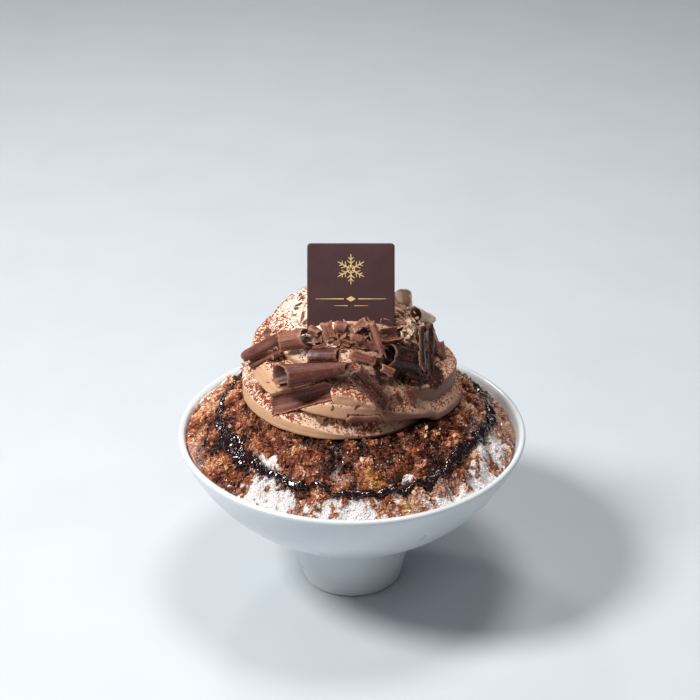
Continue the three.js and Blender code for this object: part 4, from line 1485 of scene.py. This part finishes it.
# %% Work out where the cocoa lies
DUST_SLOPE = (0.42, 0.62)
USUAL_DUST = 0.9
DUST_DRIFTS = [(0.45, 8, 91)]
DUST_LOSS_AT_RIGHT = 0.12
DUST_LOSS_AT_TOP = 0.4
# The heights between which the top begins, and the x between which the side painted with light ends.
TOP_BEGINS = (124, 140)
LIT_SIDE_ENDS = (-15, -1)
# Azimuth and spread of the painted shade on the cream's front right.
RIGHT_SHADE_AZIMUTH = 325
RIGHT_SHADE_SPREAD = (25, 80)


def mesh_arrays(piece):
    """Points in millimetres, their normals and the triangles of a piece."""
    mesh = piece.data
    points = np.empty(len(mesh.vertices) * 3)
    mesh.vertices.foreach_get("co", points)
    normals = np.empty(len(mesh.vertices) * 3, dtype=np.float32)
    mesh.vertex_normals.foreach_get("vector", normals)
    mesh.calc_loop_triangles()
    triangles = np.empty(len(mesh.loop_triangles) * 3, dtype=np.int32)
    mesh.loop_triangles.foreach_get("vertices", triangles)
    return points.reshape(-1, 3) / MM, normals.reshape(-1, 3), triangles.reshape(-1, 3)


cream_points, cream_normals, cream_triangles = mesh_arrays(cream)
cream_x, cream_y, cream_z = cream_points.T
near_top = ramp(*TOP_BEGINS, cream_z)
drift = USUAL_DUST + layered_noise(cream_points, DUST_DRIFTS) - DUST_LOSS_AT_RIGHT * cream_x / CREAM_RADIUS
dust = np.clip(ramp(*DUST_SLOPE, cream_normals[:, 2]) * (drift - DUST_LOSS_AT_TOP * near_top), 0, 1)
set_values(cream.data, "dust", dust)
# Painted light: the upper left, which faces the main light, is made nearly white.
set_values(cream.data, "pale", near_top * (1 - ramp(*LIT_SIDE_ENDS, cream_x)))
# Painted shade: the front right, turned away from the main light, is made a darker brown.
cream_azimuths = np.degrees(np.arctan2(cream_y - CREAM_Y, cream_x - CREAM_X))
set_values(cream.data, "right_shade", 1 - ramp(*RIGHT_SHADE_SPREAD, azimuth_gap(cream_azimuths, RIGHT_SHADE_AZIMUTH)))
print("share of the cream that is dusted:", round(float((dust > 0.3).mean()), 2))

# %% [markdown]
# Whipped cream with cocoa in it is a soft tan. It is matt but not dry, so the roughness is middling, and
# light that enters it comes out warmer a little further on, which is what subsurface scattering is for.
# Where dust lies, on the faces that look up, the cream is paler: partly a thin veil of dust and partly
# painted light from above. Thicker specks in the dust are red brown.
# The dust must also roughen the surface, or it would look printed on. The last step paints shade into the
# hollows round the curls, by a value that is stored once the curls are made.

# %% Finish the cream
DUST_COVER = 0.62
# How far the painted light on the upper left goes towards the palest cream.
LIT_PALEST = 0.75
DUSTED_ROUGHNESS = (0.5, 0.85)
# Where the painted shade round the curls begins, and where it is full.
SHADE_BEGINS = (0.05, 0.3)
SPECK_HEIGHT = 0.6


def make_cream():
    constants = {
        "IOR": 1.4,
        "Subsurface Weight": 0.3,
        "Subsurface Radius": (1.0, 0.6, 0.35),
        "Subsurface Scale": 2.0 * MM,
    }
    material, tree, shader = new_material("cocoa_cream", constants)
    dust, right_shade, pale, hollow_shade = (stored(tree, name) for name in ("dust", "right_shade", "pale", "hollow_shade"))
    tan = blend_colours(tree, mottle(tree, 12.0), colour(194, 151, 117), colour(205, 163, 129))
    drag = streaks(tree, stored(tree, "flow", "Vector"), length=30.0, width=1.6)
    tan = blend_colours(tree, drag, tan, colour(204, 161, 125))
    # Painted shade on the front right: the faces get a darker brown, the dusted ledges a little darker.
    tan = blend_colours(tree, right_shade, tan, colour(126, 86, 73))
    dusted_and_lit = blend_colours(tree, right_shade, colour(236, 206, 183), colour(216, 178, 152))
    cover = reckon(tree, "MULTIPLY", dust, DUST_COVER)
    fine = reckon(tree, "MULTIPLY", specks(tree, 1.5, cover), dust)
    # Paler where dust lies, on faces that look up: partly the veil of dust, partly painted light from above.
    base = blend_colours(tree, dust, tan, dusted_and_lit)
    # Painted light on the upper left, which faces the main light.
    base = blend_colours(tree, spread(tree, pale, 0.0, 1.0, 0.0, LIT_PALEST), base, colour(242, 226, 212))
    base = blend_colours(tree, fine, base, colour(144, 76, 48))
    # Painted shade in the hollows round the curls, wide near dark curls and faint where others touch.
    painted_shade = reckon(tree, "MULTIPLY", specks(tree, 1.4, hollow_shade), spread(tree, hollow_shade, *SHADE_BEGINS))
    base = blend_colours(tree, painted_shade, base, colour(46, 24, 21))
    rough = spread(tree, dust, 0.0, 1.0, *DUSTED_ROUGHNESS)
    pits = reckon(tree, "ADD", mottle(tree, 1.1), reckon(tree, "MULTIPLY", fine, SPECK_HEIGHT))
    feed(tree, shader, base=base, rough=rough, normal=bump(tree, pits, depth=0.09))
    return material


dress(cream, make_cream(), "cream", "cream")

# %% [markdown]
# The coarser cocoa is real mesh, so that it has a silhouette and a shadow. Points are drawn on the cream's
# triangles, weighted by area and by the dust stored there, and a small crystal is half sunk at each. The
# crumbs gather where the dust is thick, so its value is raised to a power.

# %% Sprinkle cocoa crumbs
CRUMB_SEED = 303
CRUMB_COUNT = 11000
CRUMB_SIZES = (0.16, 0.55)
CRUMB_FLATNESS = (0.5, 0.9)
CRUMB_GATHERING = 1.5
CRUMB_SMALLER_MORE = 2


def draw_on(points, triangles, weights, count, chance):
    """Random places on triangles, likelier where the weights of the corners are large."""
    corners = points[triangles]
    crossed = np.cross(corners[:, 1] - corners[:, 0], corners[:, 2] - corners[:, 0])
    share = np.linalg.norm(crossed, axis=-1) * weights[triangles].mean(axis=-1)
    chosen = chance.choice(len(triangles), count, p=share / share.sum())
    mix = chance.dirichlet((1, 1, 1), count)
    return (corners[chosen] * mix[..., None]).sum(axis=1)


crumb_chance = np.random.default_rng(CRUMB_SEED)
crumb_places = draw_on(cream_points, cream_triangles, dust**CRUMB_GATHERING, CRUMB_COUNT, crumb_chance)
crumb_sizes = lerp(*CRUMB_SIZES, crumb_chance.uniform(size=CRUMB_COUNT) ** CRUMB_SMALLER_MORE)
crumb_mesh = crystals(crumb_chance, crumb_places, crumb_sizes, CRUMB_FLATNESS)
crumb_tone = for_each_corner(crumb_chance.uniform(size=CRUMB_COUNT))
cocoa_crumbs = add_piece("cocoa_crumbs", *crumb_mesh, smooth=False, tone=crumb_tone)


def make_cocoa():
    material, tree, shader = new_material("cocoa_powder", {"Roughness": 0.9, "Specular IOR Level": 0.2})
    base = blend_colours(tree, stored(tree, "tone"), colour(112, 50, 30), colour(176, 92, 58))
    base = blend_colours(tree, mottle(tree, 0.3), base, colour(134, 62, 38))
    feed(tree, shader, base=base, normal=bump(tree, mottle(tree, 0.2), depth=0.05))
    return material


dress(cocoa_crumbs, make_cocoa(), "cream")

# %% [markdown]
# ## The curls
#
# A knife drawn over a block of chocolate raises thin sheets that roll up. Each curl here is one sheet:
# an outer and an inner face, joined by a rim, bent round its own axis. One that bends past a full turn
# winds in on itself. Its thickness makes it chocolate and not paper. It thins towards the edges, which
# are broken in coarse waves and fine teeth. Cloth or curve tools could bend a sheet as well, but not
# break its edge.

# %% Bend the sheets
TURN_SPACE = 0.6
SHEET_STEP = 0.6
# Half the thickness, in the middle of a sheet and at its edge.
SHEET_MIDDLE = 0.42
SHEET_EDGE = 0.16
EDGE_WIDTH = 1.6
END_WIDTH = 3.0
SIDE_WIDTH = 2.0
# Layers of noise, each with its depth, size and seed. A short curl gets smaller teeth at its ends.
END_TEETH = [(0.55, 1.6, 301), (0.3, 0.7, 302)]
LONG_ENOUGH = 12.0
SIDE_TEETH = [(0.7, 2.4, 303), (0.35, 0.9, 304)]
BLADE_RIDGES = [(0.07, 0.8, 305)]
SHEET_WAVES = [(0.12, 4.0, 306)]
RIDGE_STRETCH = 0.12
FRAYED = 0.25
OPEN_ENDS = {"depth": 0.04, "waves": 7}
CLOSED_ENDS = {"depth": 0.06, "waves": 5}
# How far apart the curls lie in the noise, and the two faces of a sheet in the streaks.
CURL_APART = 50
FACES_APART = 9


def build_curl(number, curl):
    """One curl. `u` runs along it and `v` round its bend, both from 0 to 1."""
    length, place = curl_frame(curl)
    is_open = curl["arc"] < CLOSED_ARC
    ends = OPEN_ENDS if is_open else CLOSED_ENDS
    bow = math.radians(curl["arc"])
    roll = math.radians(curl["roll"])
    winding = curl["arc"] / 360 * (SHEET + TURN_SPACE) if curl["arc"] > 360 else 0.0
    centring = curl["radius"] * (1 + math.cos(bow / 2)) / 2 if is_open else 0.0
    shift = place(0.0, centring, roll) - place(0.0, 0.0, 0.0)
    width = curl["radius"] * bow
    u = np.linspace(0, 1, math.ceil(length / SHEET_STEP) + 2)[:, None]
    v = np.linspace(0, 1, math.ceil(width / SHEET_STEP) + 3)[None, :]
    flat = np.stack(np.broadcast_arrays(u * length + CURL_APART * number, v * width), axis=-1)
    from_end = np.minimum(u, 1 - u) * length
    from_side = np.minimum(v, 1 - v) * width
    edge = 1 - ramp(0, EDGE_WIDTH, np.minimum(from_end, from_side))
    teeth = layered_noise(flat, END_TEETH) * min(1, length / LONG_ENOUGH)
    side_teeth = layered_noise(flat * [1, 0], SIDE_TEETH)
    ridges = layered_noise(flat * [RIDGE_STRETCH, 1], BLADE_RIDGES) + layered_noise(flat, SHEET_WAVES)
    near_end = 1 - ramp(0, END_WIDTH, from_end)
    near_side = 1 - ramp(0, SIDE_WIDTH, from_side)
    radius = curl["radius"] * lerp(1, curl["taper"], u) - winding * v + ridges + FRAYED * edge * teeth
    bend = (v - 0.5) * bow + roll + np.sign(v - 0.5) * near_side * side_teeth / curl["radius"]
    broken = length * ends["depth"] * np.sin(ends["waves"] * v + number) * (2 * u - 1)
    slant = radius * np.cos(bend) * (curl["cut"] * (1 - u) + curl["far_cut"] * u)
    x = length * (u - 0.5) + broken + slant + np.sign(u - 0.5) * near_end * teeth
    half = lerp(SHEET_MIDDLE, SHEET_EDGE, edge)
    outer, inner = (place(x, radius + offset, bend) - shift for offset in (half, -half))
    return close_sheet(outer, inner, flat, edge)


def close_sheet(outer, inner, flat, edge):
    """One closed body from a sheet's two faces. Returns points, faces and what it stores."""
    rows, columns = edge.shape
    loop = np.concatenate([outer, inner[:, ::-1]], axis=1)
    faces = grid_faces(rows, 2 * columns, closed=True)
    near = np.arange(columns - 1)
    across = 2 * columns - 1 - near
    cap = np.stack([near, near + 1, across - 1, across], axis=-1)
    faces = np.concatenate([faces, cap[:, ::-1], cap + (rows - 1) * 2 * columns])
    grain = np.concatenate([flat, np.zeros((rows, columns, 1))], axis=-1)
    grain = np.concatenate([grain, grain[:, ::-1] + [0, 0, FACES_APART]], axis=1)
    rim = np.concatenate([edge, edge[:, ::-1]], axis=1)
    return loop.reshape(-1, 3), faces, grain.reshape(-1, 3), rim.ravel()


def add_curl(number, curl):
    """A curl as a piece, with the places of its streaks, its rim and its tone on its points."""
    points, faces, grain, rim = build_curl(number, curl)
    tone = np.full(len(points), curl["tone"])
    name = f"chocolate_curl_{number + 1:02d}"
    return weld(add_piece(name, points, faces, grain=grain, rim=rim, tone=tone))


curl_pieces = [add_curl(number, curl) for number, curl in enumerate(curls)]
print("curls:", len(curl_pieces), "points:", sum(len(piece.data.vertices) for piece in curl_pieces))

# %% [markdown]
# Where curls lie close together, the cream between them lies in their shade, and that shade is painted
# into the cream's colour. How dark is stored on the cream. Near a curl of dark chocolate a point is
# darkened over a wide reach, and near the others only faintly, where they touch it. An ambient occlusion
# node would darken every hollow alike, also those without chocolate. A k-d tree finds the nearest point
# of the curls quickly.

# %% Paint shade on the cream between the curls
# Within the first distance of a curl the painted shade is full, and at the second it ends.
PAINTED_SHADES = {"dark": {"reach": (2.8, 6.4), "strength": 1.0}, "usual": {"reach": (0.1, 1.5), "strength": 0.4}}
DARK_TONE = 0.01


def distance_to(pieces, points):
    """How far each point is from the nearest point of some pieces, in millimetres."""
    targets = np.concatenate([mesh_arrays(piece)[0] for piece in pieces])
    tree = KDTree(len(targets))
    for i, target in enumerate(targets):
        tree.insert(target, i)
    tree.balance()
    return np.array([tree.find(point)[2] for point in points])


shade_curls = {"dark": [], "usual": []}
for piece, curl in zip(curl_pieces, curls):
    shade_curls["dark" if curl["tone"] <= DARK_TONE else "usual"].append(piece)
hollow_shade = np.zeros(len(cream_points))
for kind, painted_shade in PAINTED_SHADES.items():
    nearness = 1 - ramp(*painted_shade["reach"], distance_to(shade_curls[kind], cream_points))
    hollow_shade = np.maximum(hollow_shade, painted_shade["strength"] * nearness)
set_values(cream.data, "hollow_shade", hollow_shade)
print("stained share of the cream:", round(float((hollow_shade > 0.5).mean()), 3))

# %% [markdown]
# Shaved chocolate is matt, with a faint bloom of fat and dust, and streaks that the blade left along the
# roll. The broken edges are lighter than the faces, partly because they are rough and thin and partly as a
# painted highlight where light catches them, but less so on dark chocolate. The streaks follow the places
# that were stored when the sheet was still flat, so they bend with it. A texture in world space would cut
# straight through the rolls.

# %% Finish the chocolate
# The near black end also serves as painted shade at the right, the palest end as painted light by the plaque.
CHOCOLATE_COLOURS = (
    (0.0, colour(28, 12, 12)),
    (0.3, colour(100, 52, 43)),
    (0.6, colour(146, 94, 76)),
    (1.0, colour(250, 226, 198)),
)
DUSTY_SHARE = 0.4
DUSTY_ROUGHER = 0.3
DUSTY_HEIGHT = 0.5


def make_chocolate():
    constants = {"IOR": 1.5, "Specular IOR Level": 0.35}
    material, tree, shader = new_material("shaved_chocolate", constants)
    own_tone = stored(tree, "tone")
    lines = streaks(tree, stored(tree, "grain", "Vector"), length=14.0, width=0.7)
    tone = reckon(tree, "ADD", own_tone, spread(tree, lines, 0, 1, to_low=-0.14, to_high=0.16))
    tone = reckon(tree, "ADD", tone, mottle(tree, 9.0, low=-0.12, high=0.16))
    base = ramp_colours(tree, tone, *CHOCOLATE_COLOURS)
    # Lighter broken edges: partly rough, thin chocolate, partly a painted highlight where light catches them.
    edge_wear_and_light = reckon(tree, "MULTIPLY", stored(tree, "rim"), mottle(tree, 1.2, low=0.2, high=1.0))
    edge_wear_and_light = reckon(tree, "MULTIPLY", edge_wear_and_light, spread(tree, own_tone, 0.0, 0.3, to_low=0.45, to_high=1.0))
    base = blend_colours(tree, edge_wear_and_light, base, colour(182, 130, 104))
    dusty = specks(tree, 0.8, cover=0.26)
    base = blend_colours(tree, reckon(tree, "MULTIPLY", dusty, DUSTY_SHARE), base, colour(176, 128, 102))
    rough = spread(tree, lines, 0, 1, to_low=0.34, to_high=0.46)
    rough = reckon(tree, "ADD", rough, reckon(tree, "MULTIPLY", dusty, DUSTY_ROUGHER))
    height = reckon(tree, "ADD", lines, reckon(tree, "MULTIPLY", dusty, DUSTY_HEIGHT))
    feed(tree, shader, base=base, rough=rough, normal=bump(tree, height, depth=0.06))
    return material


chocolate_finish = make_chocolate()
for number, piece in enumerate(curl_pieces):
    dress(piece, chocolate_finish, "chocolate", f"curl_{number + 1:02d}")

# %% [markdown]
# ## Chips and shards
#
# Between the curls lie chips, the flat scraps of the same shaving. Each is a thin prism on an uneven
# outline, bowed a little, tilted and turned. A scrap could be cut from a plane by hand and copied, but
# copies are easy to spot in a heap, so every one is drawn anew.

# %% Shape a chip
CHIP_CORNERS = 8
CORNER_SHIFT = 0.35
CORNER_REACH = (0.7, 1.1)
CHIP_BOW = 0.12
CHIP_NARROWING = 0.94
BACKWARDS = (0.0, 1.0, 0.3)


def turn_to(outward):
    """Axes with the second one along `outward`, for a chip that lies flat on the cream."""
    side = unit(np.cross(outward, BACKWARDS))
    return np.stack([side, outward, np.cross(side, outward)])


def chip_prism(chance, place, outward, radius, ratio, tilt, turn, thickness):
    """The points of one chip: two uneven rings and the middles of its two faces."""
    shift = chance.uniform(-CORNER_SHIFT, CORNER_SHIFT, CHIP_CORNERS)
    angles = (np.arange(CHIP_CORNERS) + shift) * 2 * math.pi / CHIP_CORNERS
    reach = radius * chance.uniform(*CORNER_REACH, CHIP_CORNERS)
    x, z = reach * np.cos(angles), reach * np.sin(angles) * ratio
    bow = CHIP_BOW * x**2 / radius
    half = thickness / 2
    rings = [np.stack([x * s, bow + y, z * s], axis=-1) for y, s in ((half, CHIP_NARROWING), (-half, 1.0))]
    middles = [[[0, y, 0]] for y in (half, -half)]
    points = np.concatenate(rings + middles)
    c, s = math.cos(tilt), math.sin(tilt)
    points = points @ np.array([[1, 0, 0], [0, c, s], [0, -s, c]])
    c, s = math.cos(turn), math.sin(turn)
    points = points @ np.array([[c, 0, -s], [0, 1, 0], [s, 0, c]])
    return place + points @ turn_to(outward)


def chip_faces():
    """The triangles of a chip: a fan over each face, and two for each side of its edge."""
    near = np.arange(CHIP_CORNERS)
    after = (near + 1) % CHIP_CORNERS
    top_middle, low_middle = 2 * CHIP_CORNERS, 2 * CHIP_CORNERS + 1
    top = [(top_middle, b, a) for a, b in zip(near, after)]
    low = [(low_middle, a + CHIP_CORNERS, b + CHIP_CORNERS) for a, b in zip(near, after)]
    first = [(a, b, b + CHIP_CORNERS) for a, b in zip(near, after)]
    second = [(a, b + CHIP_CORNERS, a + CHIP_CORNERS) for a, b in zip(near, after)]
    return np.array(top + low + first + second)


print("a chip has", len(chip_faces()), "triangles")

# %% [markdown]
# The larger chips are in the imported solid, and the same seed puts them in the same places here. Smaller
# shards are added in four kinds: fine scraps over the whole front, splinters at the plaque's foot, near
# black ones between the curls at the right, put there as painted shade for that hollow, and pale ones
# above those, whose tone is partly their own and partly painted light. A scrap that would cut through a
# curl is left out. A margin below zero lets it lean on one.

# %% Scatter the chips and shards
CHIP_COUNT = 36
CHIP_SEED = 5
SHARD_SEED = 404
CHIP_HEIGHTS = (104, 141)
CHIP_LIFT = -0.3
CHIP_RADII = (1.4, 3.0)
CHIP_RATIOS = (0.45, 0.8)
CHIP_TILT = 0.7
CHIP_THICKNESS = 0.8
CHIP_TONE = 0.3
CHIP_MARGIN = 0.8
# How light a chip's edge is painted: partly wear, partly a painted highlight.
CHIP_RIM = 0.6
# Powers that gather the chips at the front and towards the top.
TO_THE_FRONT = 1.6
TO_THE_TOP = 0.7
# A curl wider than this radius keeps chips away no further than this.
WIDEST_COUNTED = 5.0
# Each azimuth is a middle and a spread.
SHARD_KINDS = {
    "fine_scraps": {
        "count": 170, "azimuth": (270, 55), "heights": (111, 141), "lifts": (-0.2, 1.6),
        "radii": (0.6, 2.2), "tone": 0.22, "margin": 0.0,
    },
    "splinters": {
        "count": 95, "azimuth": (274, 20), "heights": (131, 138.5), "lifts": (1, 4.5),
        "radii": (1.6, 3.8), "tone": 0.28, "margin": -1.5,
    },
    # Near black scraps put in the hollow at the right as painted shade.
    "shade_scraps": {
        "count": 100, "azimuth": (316, 14), "heights": (115, 130), "lifts": (0.2, 3.5),
        "radii": (1.4, 4.0), "tone": 0.02, "margin": -1.2,
    },
    # Pale scraps, their own colour made paler still as painted light where the plaque shades them.
    "pale_scraps": {
        "count": 210, "azimuth": (331, 7), "heights": (131.5, 139), "lifts": (0.5, 4.5),
        "radii": (0.6, 2.8), "tone": 0.8, "margin": -0.5,
    },
}
SHARD_RATIOS = (0.25, 0.7)
SHARD_TILT = 1.3
SHARD_THICKNESSES = (0.3, 0.6)


def is_clear(place, margin):
    """Whether a chip lies clear of every curl."""
    for curl in curls:
        start, end = (mounted_at(curl[side], lift)[0] for side, lift in zip(("from", "to"), curl["lift"]))
        along = end - start
        share = np.clip(np.dot(place - start, along) / np.dot(along, along), 0, 1)
        if np.linalg.norm(place - start - share * along) < min(curl["radius"], WIDEST_COUNTED) + margin:
            return False
    return True


def packed_chips(chance):
    """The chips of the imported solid, by its own draws, each with its tone."""
    draws = seeded_draws(CHIP_SEED)
    for _ in range(CHIP_COUNT):
        swing = next(draws) * 2 - 1
        azimuth = FRONT + 180 * math.copysign(abs(swing) ** TO_THE_FRONT, swing)
        height = lerp(*CHIP_HEIGHTS, next(draws) ** TO_THE_TOP)
        place, outward = mounted_at((azimuth, height), CHIP_LIFT)
        radius = lerp(*CHIP_RADII, next(draws))
        next(draws)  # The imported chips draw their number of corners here.
        ratio = lerp(*CHIP_RATIOS, next(draws))
        tilt = lerp(-CHIP_TILT, CHIP_TILT, next(draws))
        turn = next(draws) * 2 * math.pi
        if is_clear(place, CHIP_MARGIN):
            yield chip_prism(chance, place, outward, radius, ratio, tilt, turn, CHIP_THICKNESS), CHIP_TONE


def small_shards(chance):
    """Scraps of every kind, each with its tone."""
    for kind in SHARD_KINDS.values():
        for _ in range(kind["count"]):
            azimuth = chance.normal(*kind["azimuth"])
            height, lift, radius = (chance.uniform(*kind[label]) for label in ("heights", "lifts", "radii"))
            place, outward = mounted_at((azimuth, height), lift)
            ratio, tilt = chance.uniform(*SHARD_RATIOS), chance.uniform(-SHARD_TILT, SHARD_TILT)
            turn, thickness = chance.uniform(0, 2 * math.pi), chance.uniform(*SHARD_THICKNESSES)
            if is_clear(place, kind["margin"]):
                yield chip_prism(chance, place, outward, radius, ratio, tilt, turn, thickness), kind["tone"]


def add_chips(name, prisms):
    """All prisms of one kind as a joined mesh, with the values that the chocolate finish reads."""
    prisms, tones = zip(*prisms)
    corners = len(prisms[0])
    points = np.concatenate(prisms)
    faces = chip_faces() + corners * np.arange(len(prisms))[:, None, None]
    rim = np.tile([CHIP_RIM] * (2 * CHIP_CORNERS) + [0.0, 0.0], len(prisms))
    values = {"grain": points, "rim": rim, "tone": np.repeat(tones, corners)}
    return add_piece(name, points, faces.reshape(-1, 3), smooth=False, **values)


chip_chance = np.random.default_rng(SHARD_SEED)
chips = add_chips("chocolate_chips", packed_chips(chip_chance))
shards = add_chips("chocolate_shards", small_shards(chip_chance))
dress(chips, chocolate_finish, "chocolate")
dress(shards, chocolate_finish, "chocolate")

# %% [markdown]
# ## The plaque
#
# The plaque is a moulded square of dark chocolate, 2.6 mm thick, that stands in the collar and leans
# back. A cube with a Bevel modifier would do for the body. It is built from rings here, so that the
# corners in its outline and the bevel of its edge have their own sizes. More rings shrink towards the
# middle of each face, which swells very slightly, as moulded chocolate does, so a light slides over it.

# %% Cast the plaque
PLAQUE_WIDTH = 38.5
PLAQUE_LENGTH = 39.0
PLAQUE_THICKNESS = 2.6
PLAQUE_CORNER = 1.6
PLAQUE_BEVEL = 0.4
PLAQUE_CROWN = 0.3
PLAQUE_LEAN = math.radians(28)
BEVEL_STEPS = 4
FACE_SHARES = (0.97, *(step / 10 for step in range(9, -1, -1)))


def plaque_outline(inset):
    """The rounded square, `inset` in from its full size, as x and the distance up from its lower edge."""
    right = PLAQUE_WIDTH / 2 - PLAQUE_CORNER
    low, high = PLAQUE_CORNER, PLAQUE_LENGTH - PLAQUE_CORNER
    corners = [((right, low), -90), ((right, high), 0), ((-right, high), 90), ((-right, low), 180)]
    radius = PLAQUE_CORNER - inset
    return np.concatenate([arc(centre, radius, begin, begin + 90) for centre, begin in corners])


def plaque_place(across, up, out):
    """A place on the leaning plaque. Both faces swell by the crown towards their middle."""
    far = np.maximum(np.abs(across), np.abs(up - PLAQUE_LENGTH / 2)) / (PLAQUE_WIDTH / 2)
    out = out + np.sign(out) * PLAQUE_CROWN * (1 - np.clip(far, 0, 1) ** 2)
    lean, rise = math.sin(PLAQUE_LEAN), math.cos(PLAQUE_LEAN)
    x, y, z = np.broadcast_arrays(across, up * lean - out * rise, up * rise + out * lean)
    return np.stack([x, y, z], axis=-1) + PLAQUE_FOOT


def build_plaque():
    """Rings from the middle of the back, round the bevels, to the middle of the front."""
    half = PLAQUE_THICKNESS / 2
    angles = np.radians(np.linspace(0, 90, BEVEL_STEPS + 1))
    insets = PLAQUE_BEVEL * (1 - np.cos(angles))
    outs = half - PLAQUE_BEVEL * (1 - np.sin(angles))
    front = [(inset, out) for inset, out in zip(insets, outs)]
    rings = [(inset, -out) for inset, out in reversed(front)] + front
    rows = [plaque_place(*plaque_outline(inset).T, out) for inset, out in rings]
    middle = np.array([0.0, PLAQUE_LENGTH / 2])
    for share in FACE_SHARES:
        shrunk = middle + (plaque_outline(PLAQUE_BEVEL) - middle) * share
        rows.append(plaque_place(*shrunk.T, half))
        rows.insert(0, plaque_place(*shrunk.T, -half))
    faces = grid_faces(len(rows), len(rows[0]), closed=True)
    return weld(add_piece("chocolate_plaque", np.concatenate(rows), faces))


plaque = build_plaque()
print("plaque:", len(plaque.data.vertices), "points")

# %% [markdown]
# Moulded chocolate is smoother than shaved chocolate, with a satin gloss that is a little uneven. A few
# specks of cocoa dust have settled on it. Without them it would look like card.

# %% Finish the plaque
PLAQUE_DUST = 0.4


def make_plaque_finish():
    material, tree, shader = new_material("moulded_chocolate", {"IOR": 1.46})
    base = blend_colours(tree, mottle(tree, 16.0), colour(64, 40, 42), colour(74, 48, 50))
    dusty = reckon(tree, "MULTIPLY", specks(tree, 0.5, cover=0.12), PLAQUE_DUST)
    base = blend_colours(tree, dusty, base, colour(120, 84, 80))
    rough = mottle(tree, 7.0, low=0.38, high=0.46)
    feed(tree, shader, base=base, rough=rough, normal=bump(tree, mottle(tree, 2.5), depth=0.02))
    return material


dress(plaque, make_plaque_finish(), "plaque", "plaque")

# %% [markdown]
# ## The gold ornament
#
# The plaque carries a thin gold ornament, printed from a transfer sheet: a snow crystal over a fine rule
# with a lozenge. A texture would be the usual way, but it would be a picture. Here each line is a flat
# ribbon that stands a tenth of a millimetre proud, so it catches an edge of light. The crystal is one
# arm with two pairs of branches, turned six times.

# %% Lay the gold lines
LINE_HEIGHT = 0.12
LINE_SINK = 0.1
CRYSTAL_CENTRE = np.array([0.0, 27.5])
CRYSTAL_ARMS = 6
ARM_REACH = (0.6, 6.6)
# How far out each pair of branches starts, and how long it is.
BRANCHES = ((2.6, 1.7), (4.3, 1.25))
BRANCH_SLANT = 0.75
# The widths of each kind of line, at its inner and its outer end.
ARM_WIDTHS = (0.6, 0.35)
BRANCH_WIDTHS = (0.5, 0.25)
RING_WIDTHS = (0.4, 0.4)
RULE_WIDTHS = (0.45, 0.2)
LOW_RULE_WIDTHS = (0.3, 0.15)
RING_REACH = 1.5
RING_HALF_SIDE = 0.87
RULE_HEIGHT = 14.5
RULE_REACH = (3.2, 15.5)
LOW_RULE_DROP = 3.0
LOW_RULE_REACH = (1.4, 7.5)
LOZENGE = (2.1, 1.2)
LOZENGE_TIP = 0.05


def line_prism(begin, end, begin_width, end_width):
    """A flat line between two places on the plaque's face, as eight corners."""
    along = unit(end - begin)
    side = np.array([-along[1], along[0]])
    outline = [
        begin - side * begin_width / 2,
        end - side * end_width / 2,
        end + side * end_width / 2,
        begin + side * begin_width / 2,
    ]
    face = PLAQUE_THICKNESS / 2
    rings = [plaque_place(*np.array(outline).T, face + out) for out in (-LINE_SINK, LINE_HEIGHT)]
    return np.concatenate(rings)


def crystal_spot(arm, reach, aside=0.0):
    """A place beside one arm of the crystal, by its distance out and to the side."""
    angle = math.radians(360 / CRYSTAL_ARMS * (arm + 0.5))
    out = np.array([math.cos(angle), math.sin(angle)])
    return CRYSTAL_CENTRE + reach * out + aside * np.array([-out[1], out[0]])


def crystal_lines():
    """The arms of the snow crystal, each with branches, and the ring round its middle."""
    for arm in range(CRYSTAL_ARMS):
        inner, outer = (crystal_spot(arm, reach) for reach in ARM_REACH)
        yield line_prism(inner, outer, *ARM_WIDTHS)
        for reach, branch in BRANCHES:
            for side in (-1, 1):
                tip = crystal_spot(arm, reach + branch * BRANCH_SLANT, side * branch)
                yield line_prism(crystal_spot(arm, reach), tip, *BRANCH_WIDTHS)
        ends = (crystal_spot(arm, RING_REACH, side * RING_HALF_SIDE) for side in (-1, 1))
        yield line_prism(*ends, *RING_WIDTHS)


def rule_lines():
    """A fine rule on each side of a lozenge, and a shorter pair below."""
    middle = np.array([0.0, RULE_HEIGHT])
    low = middle - [0, LOW_RULE_DROP]
    for side in (-1, 1):
        inner, outer = (middle + [side * reach, 0] for reach in RULE_REACH)
        yield line_prism(inner, outer, *RULE_WIDTHS)
        yield line_prism(middle, middle + [side * LOZENGE[0], 0], 2 * LOZENGE[1], LOZENGE_TIP)
        inner, outer = (low + [side * reach, 0] for reach in LOW_RULE_REACH)
        yield line_prism(inner, outer, *LOW_RULE_WIDTHS)


PRISM_FACES = np.array([(3, 2, 1, 0), (4, 5, 6, 7), (0, 1, 5, 4), (1, 2, 6, 5), (2, 3, 7, 6), (3, 0, 4, 7)])
gold_prisms = [*crystal_lines(), *rule_lines()]
gold_faces = PRISM_FACES + 8 * np.arange(len(gold_prisms))[:, None, None]
gold = add_piece("gold_ornament", np.concatenate(gold_prisms), gold_faces.reshape(-1, 4), smooth=False)
print("gold lines:", len(gold_prisms))

# %% [markdown]
# Printed gold is a powder in fat, not leaf. It is only partly metallic and fairly rough, so it stays
# yellow from every side, where a full metal would turn black whenever it reflects the dim room.

# %% Finish the gold
def make_gold():
    material, tree, shader = new_material("edible_gold", {"Metallic": 0.35})
    base = blend_colours(tree, mottle(tree, 1.5), colour(222, 192, 122), colour(242, 216, 152))
    rough = mottle(tree, 0.8, low=0.38, high=0.55)
    feed(tree, shader, base=base, rough=rough, normal=bump(tree, mottle(tree, 0.4), depth=0.02))
    return material


dress(gold, make_gold(), "plaque")
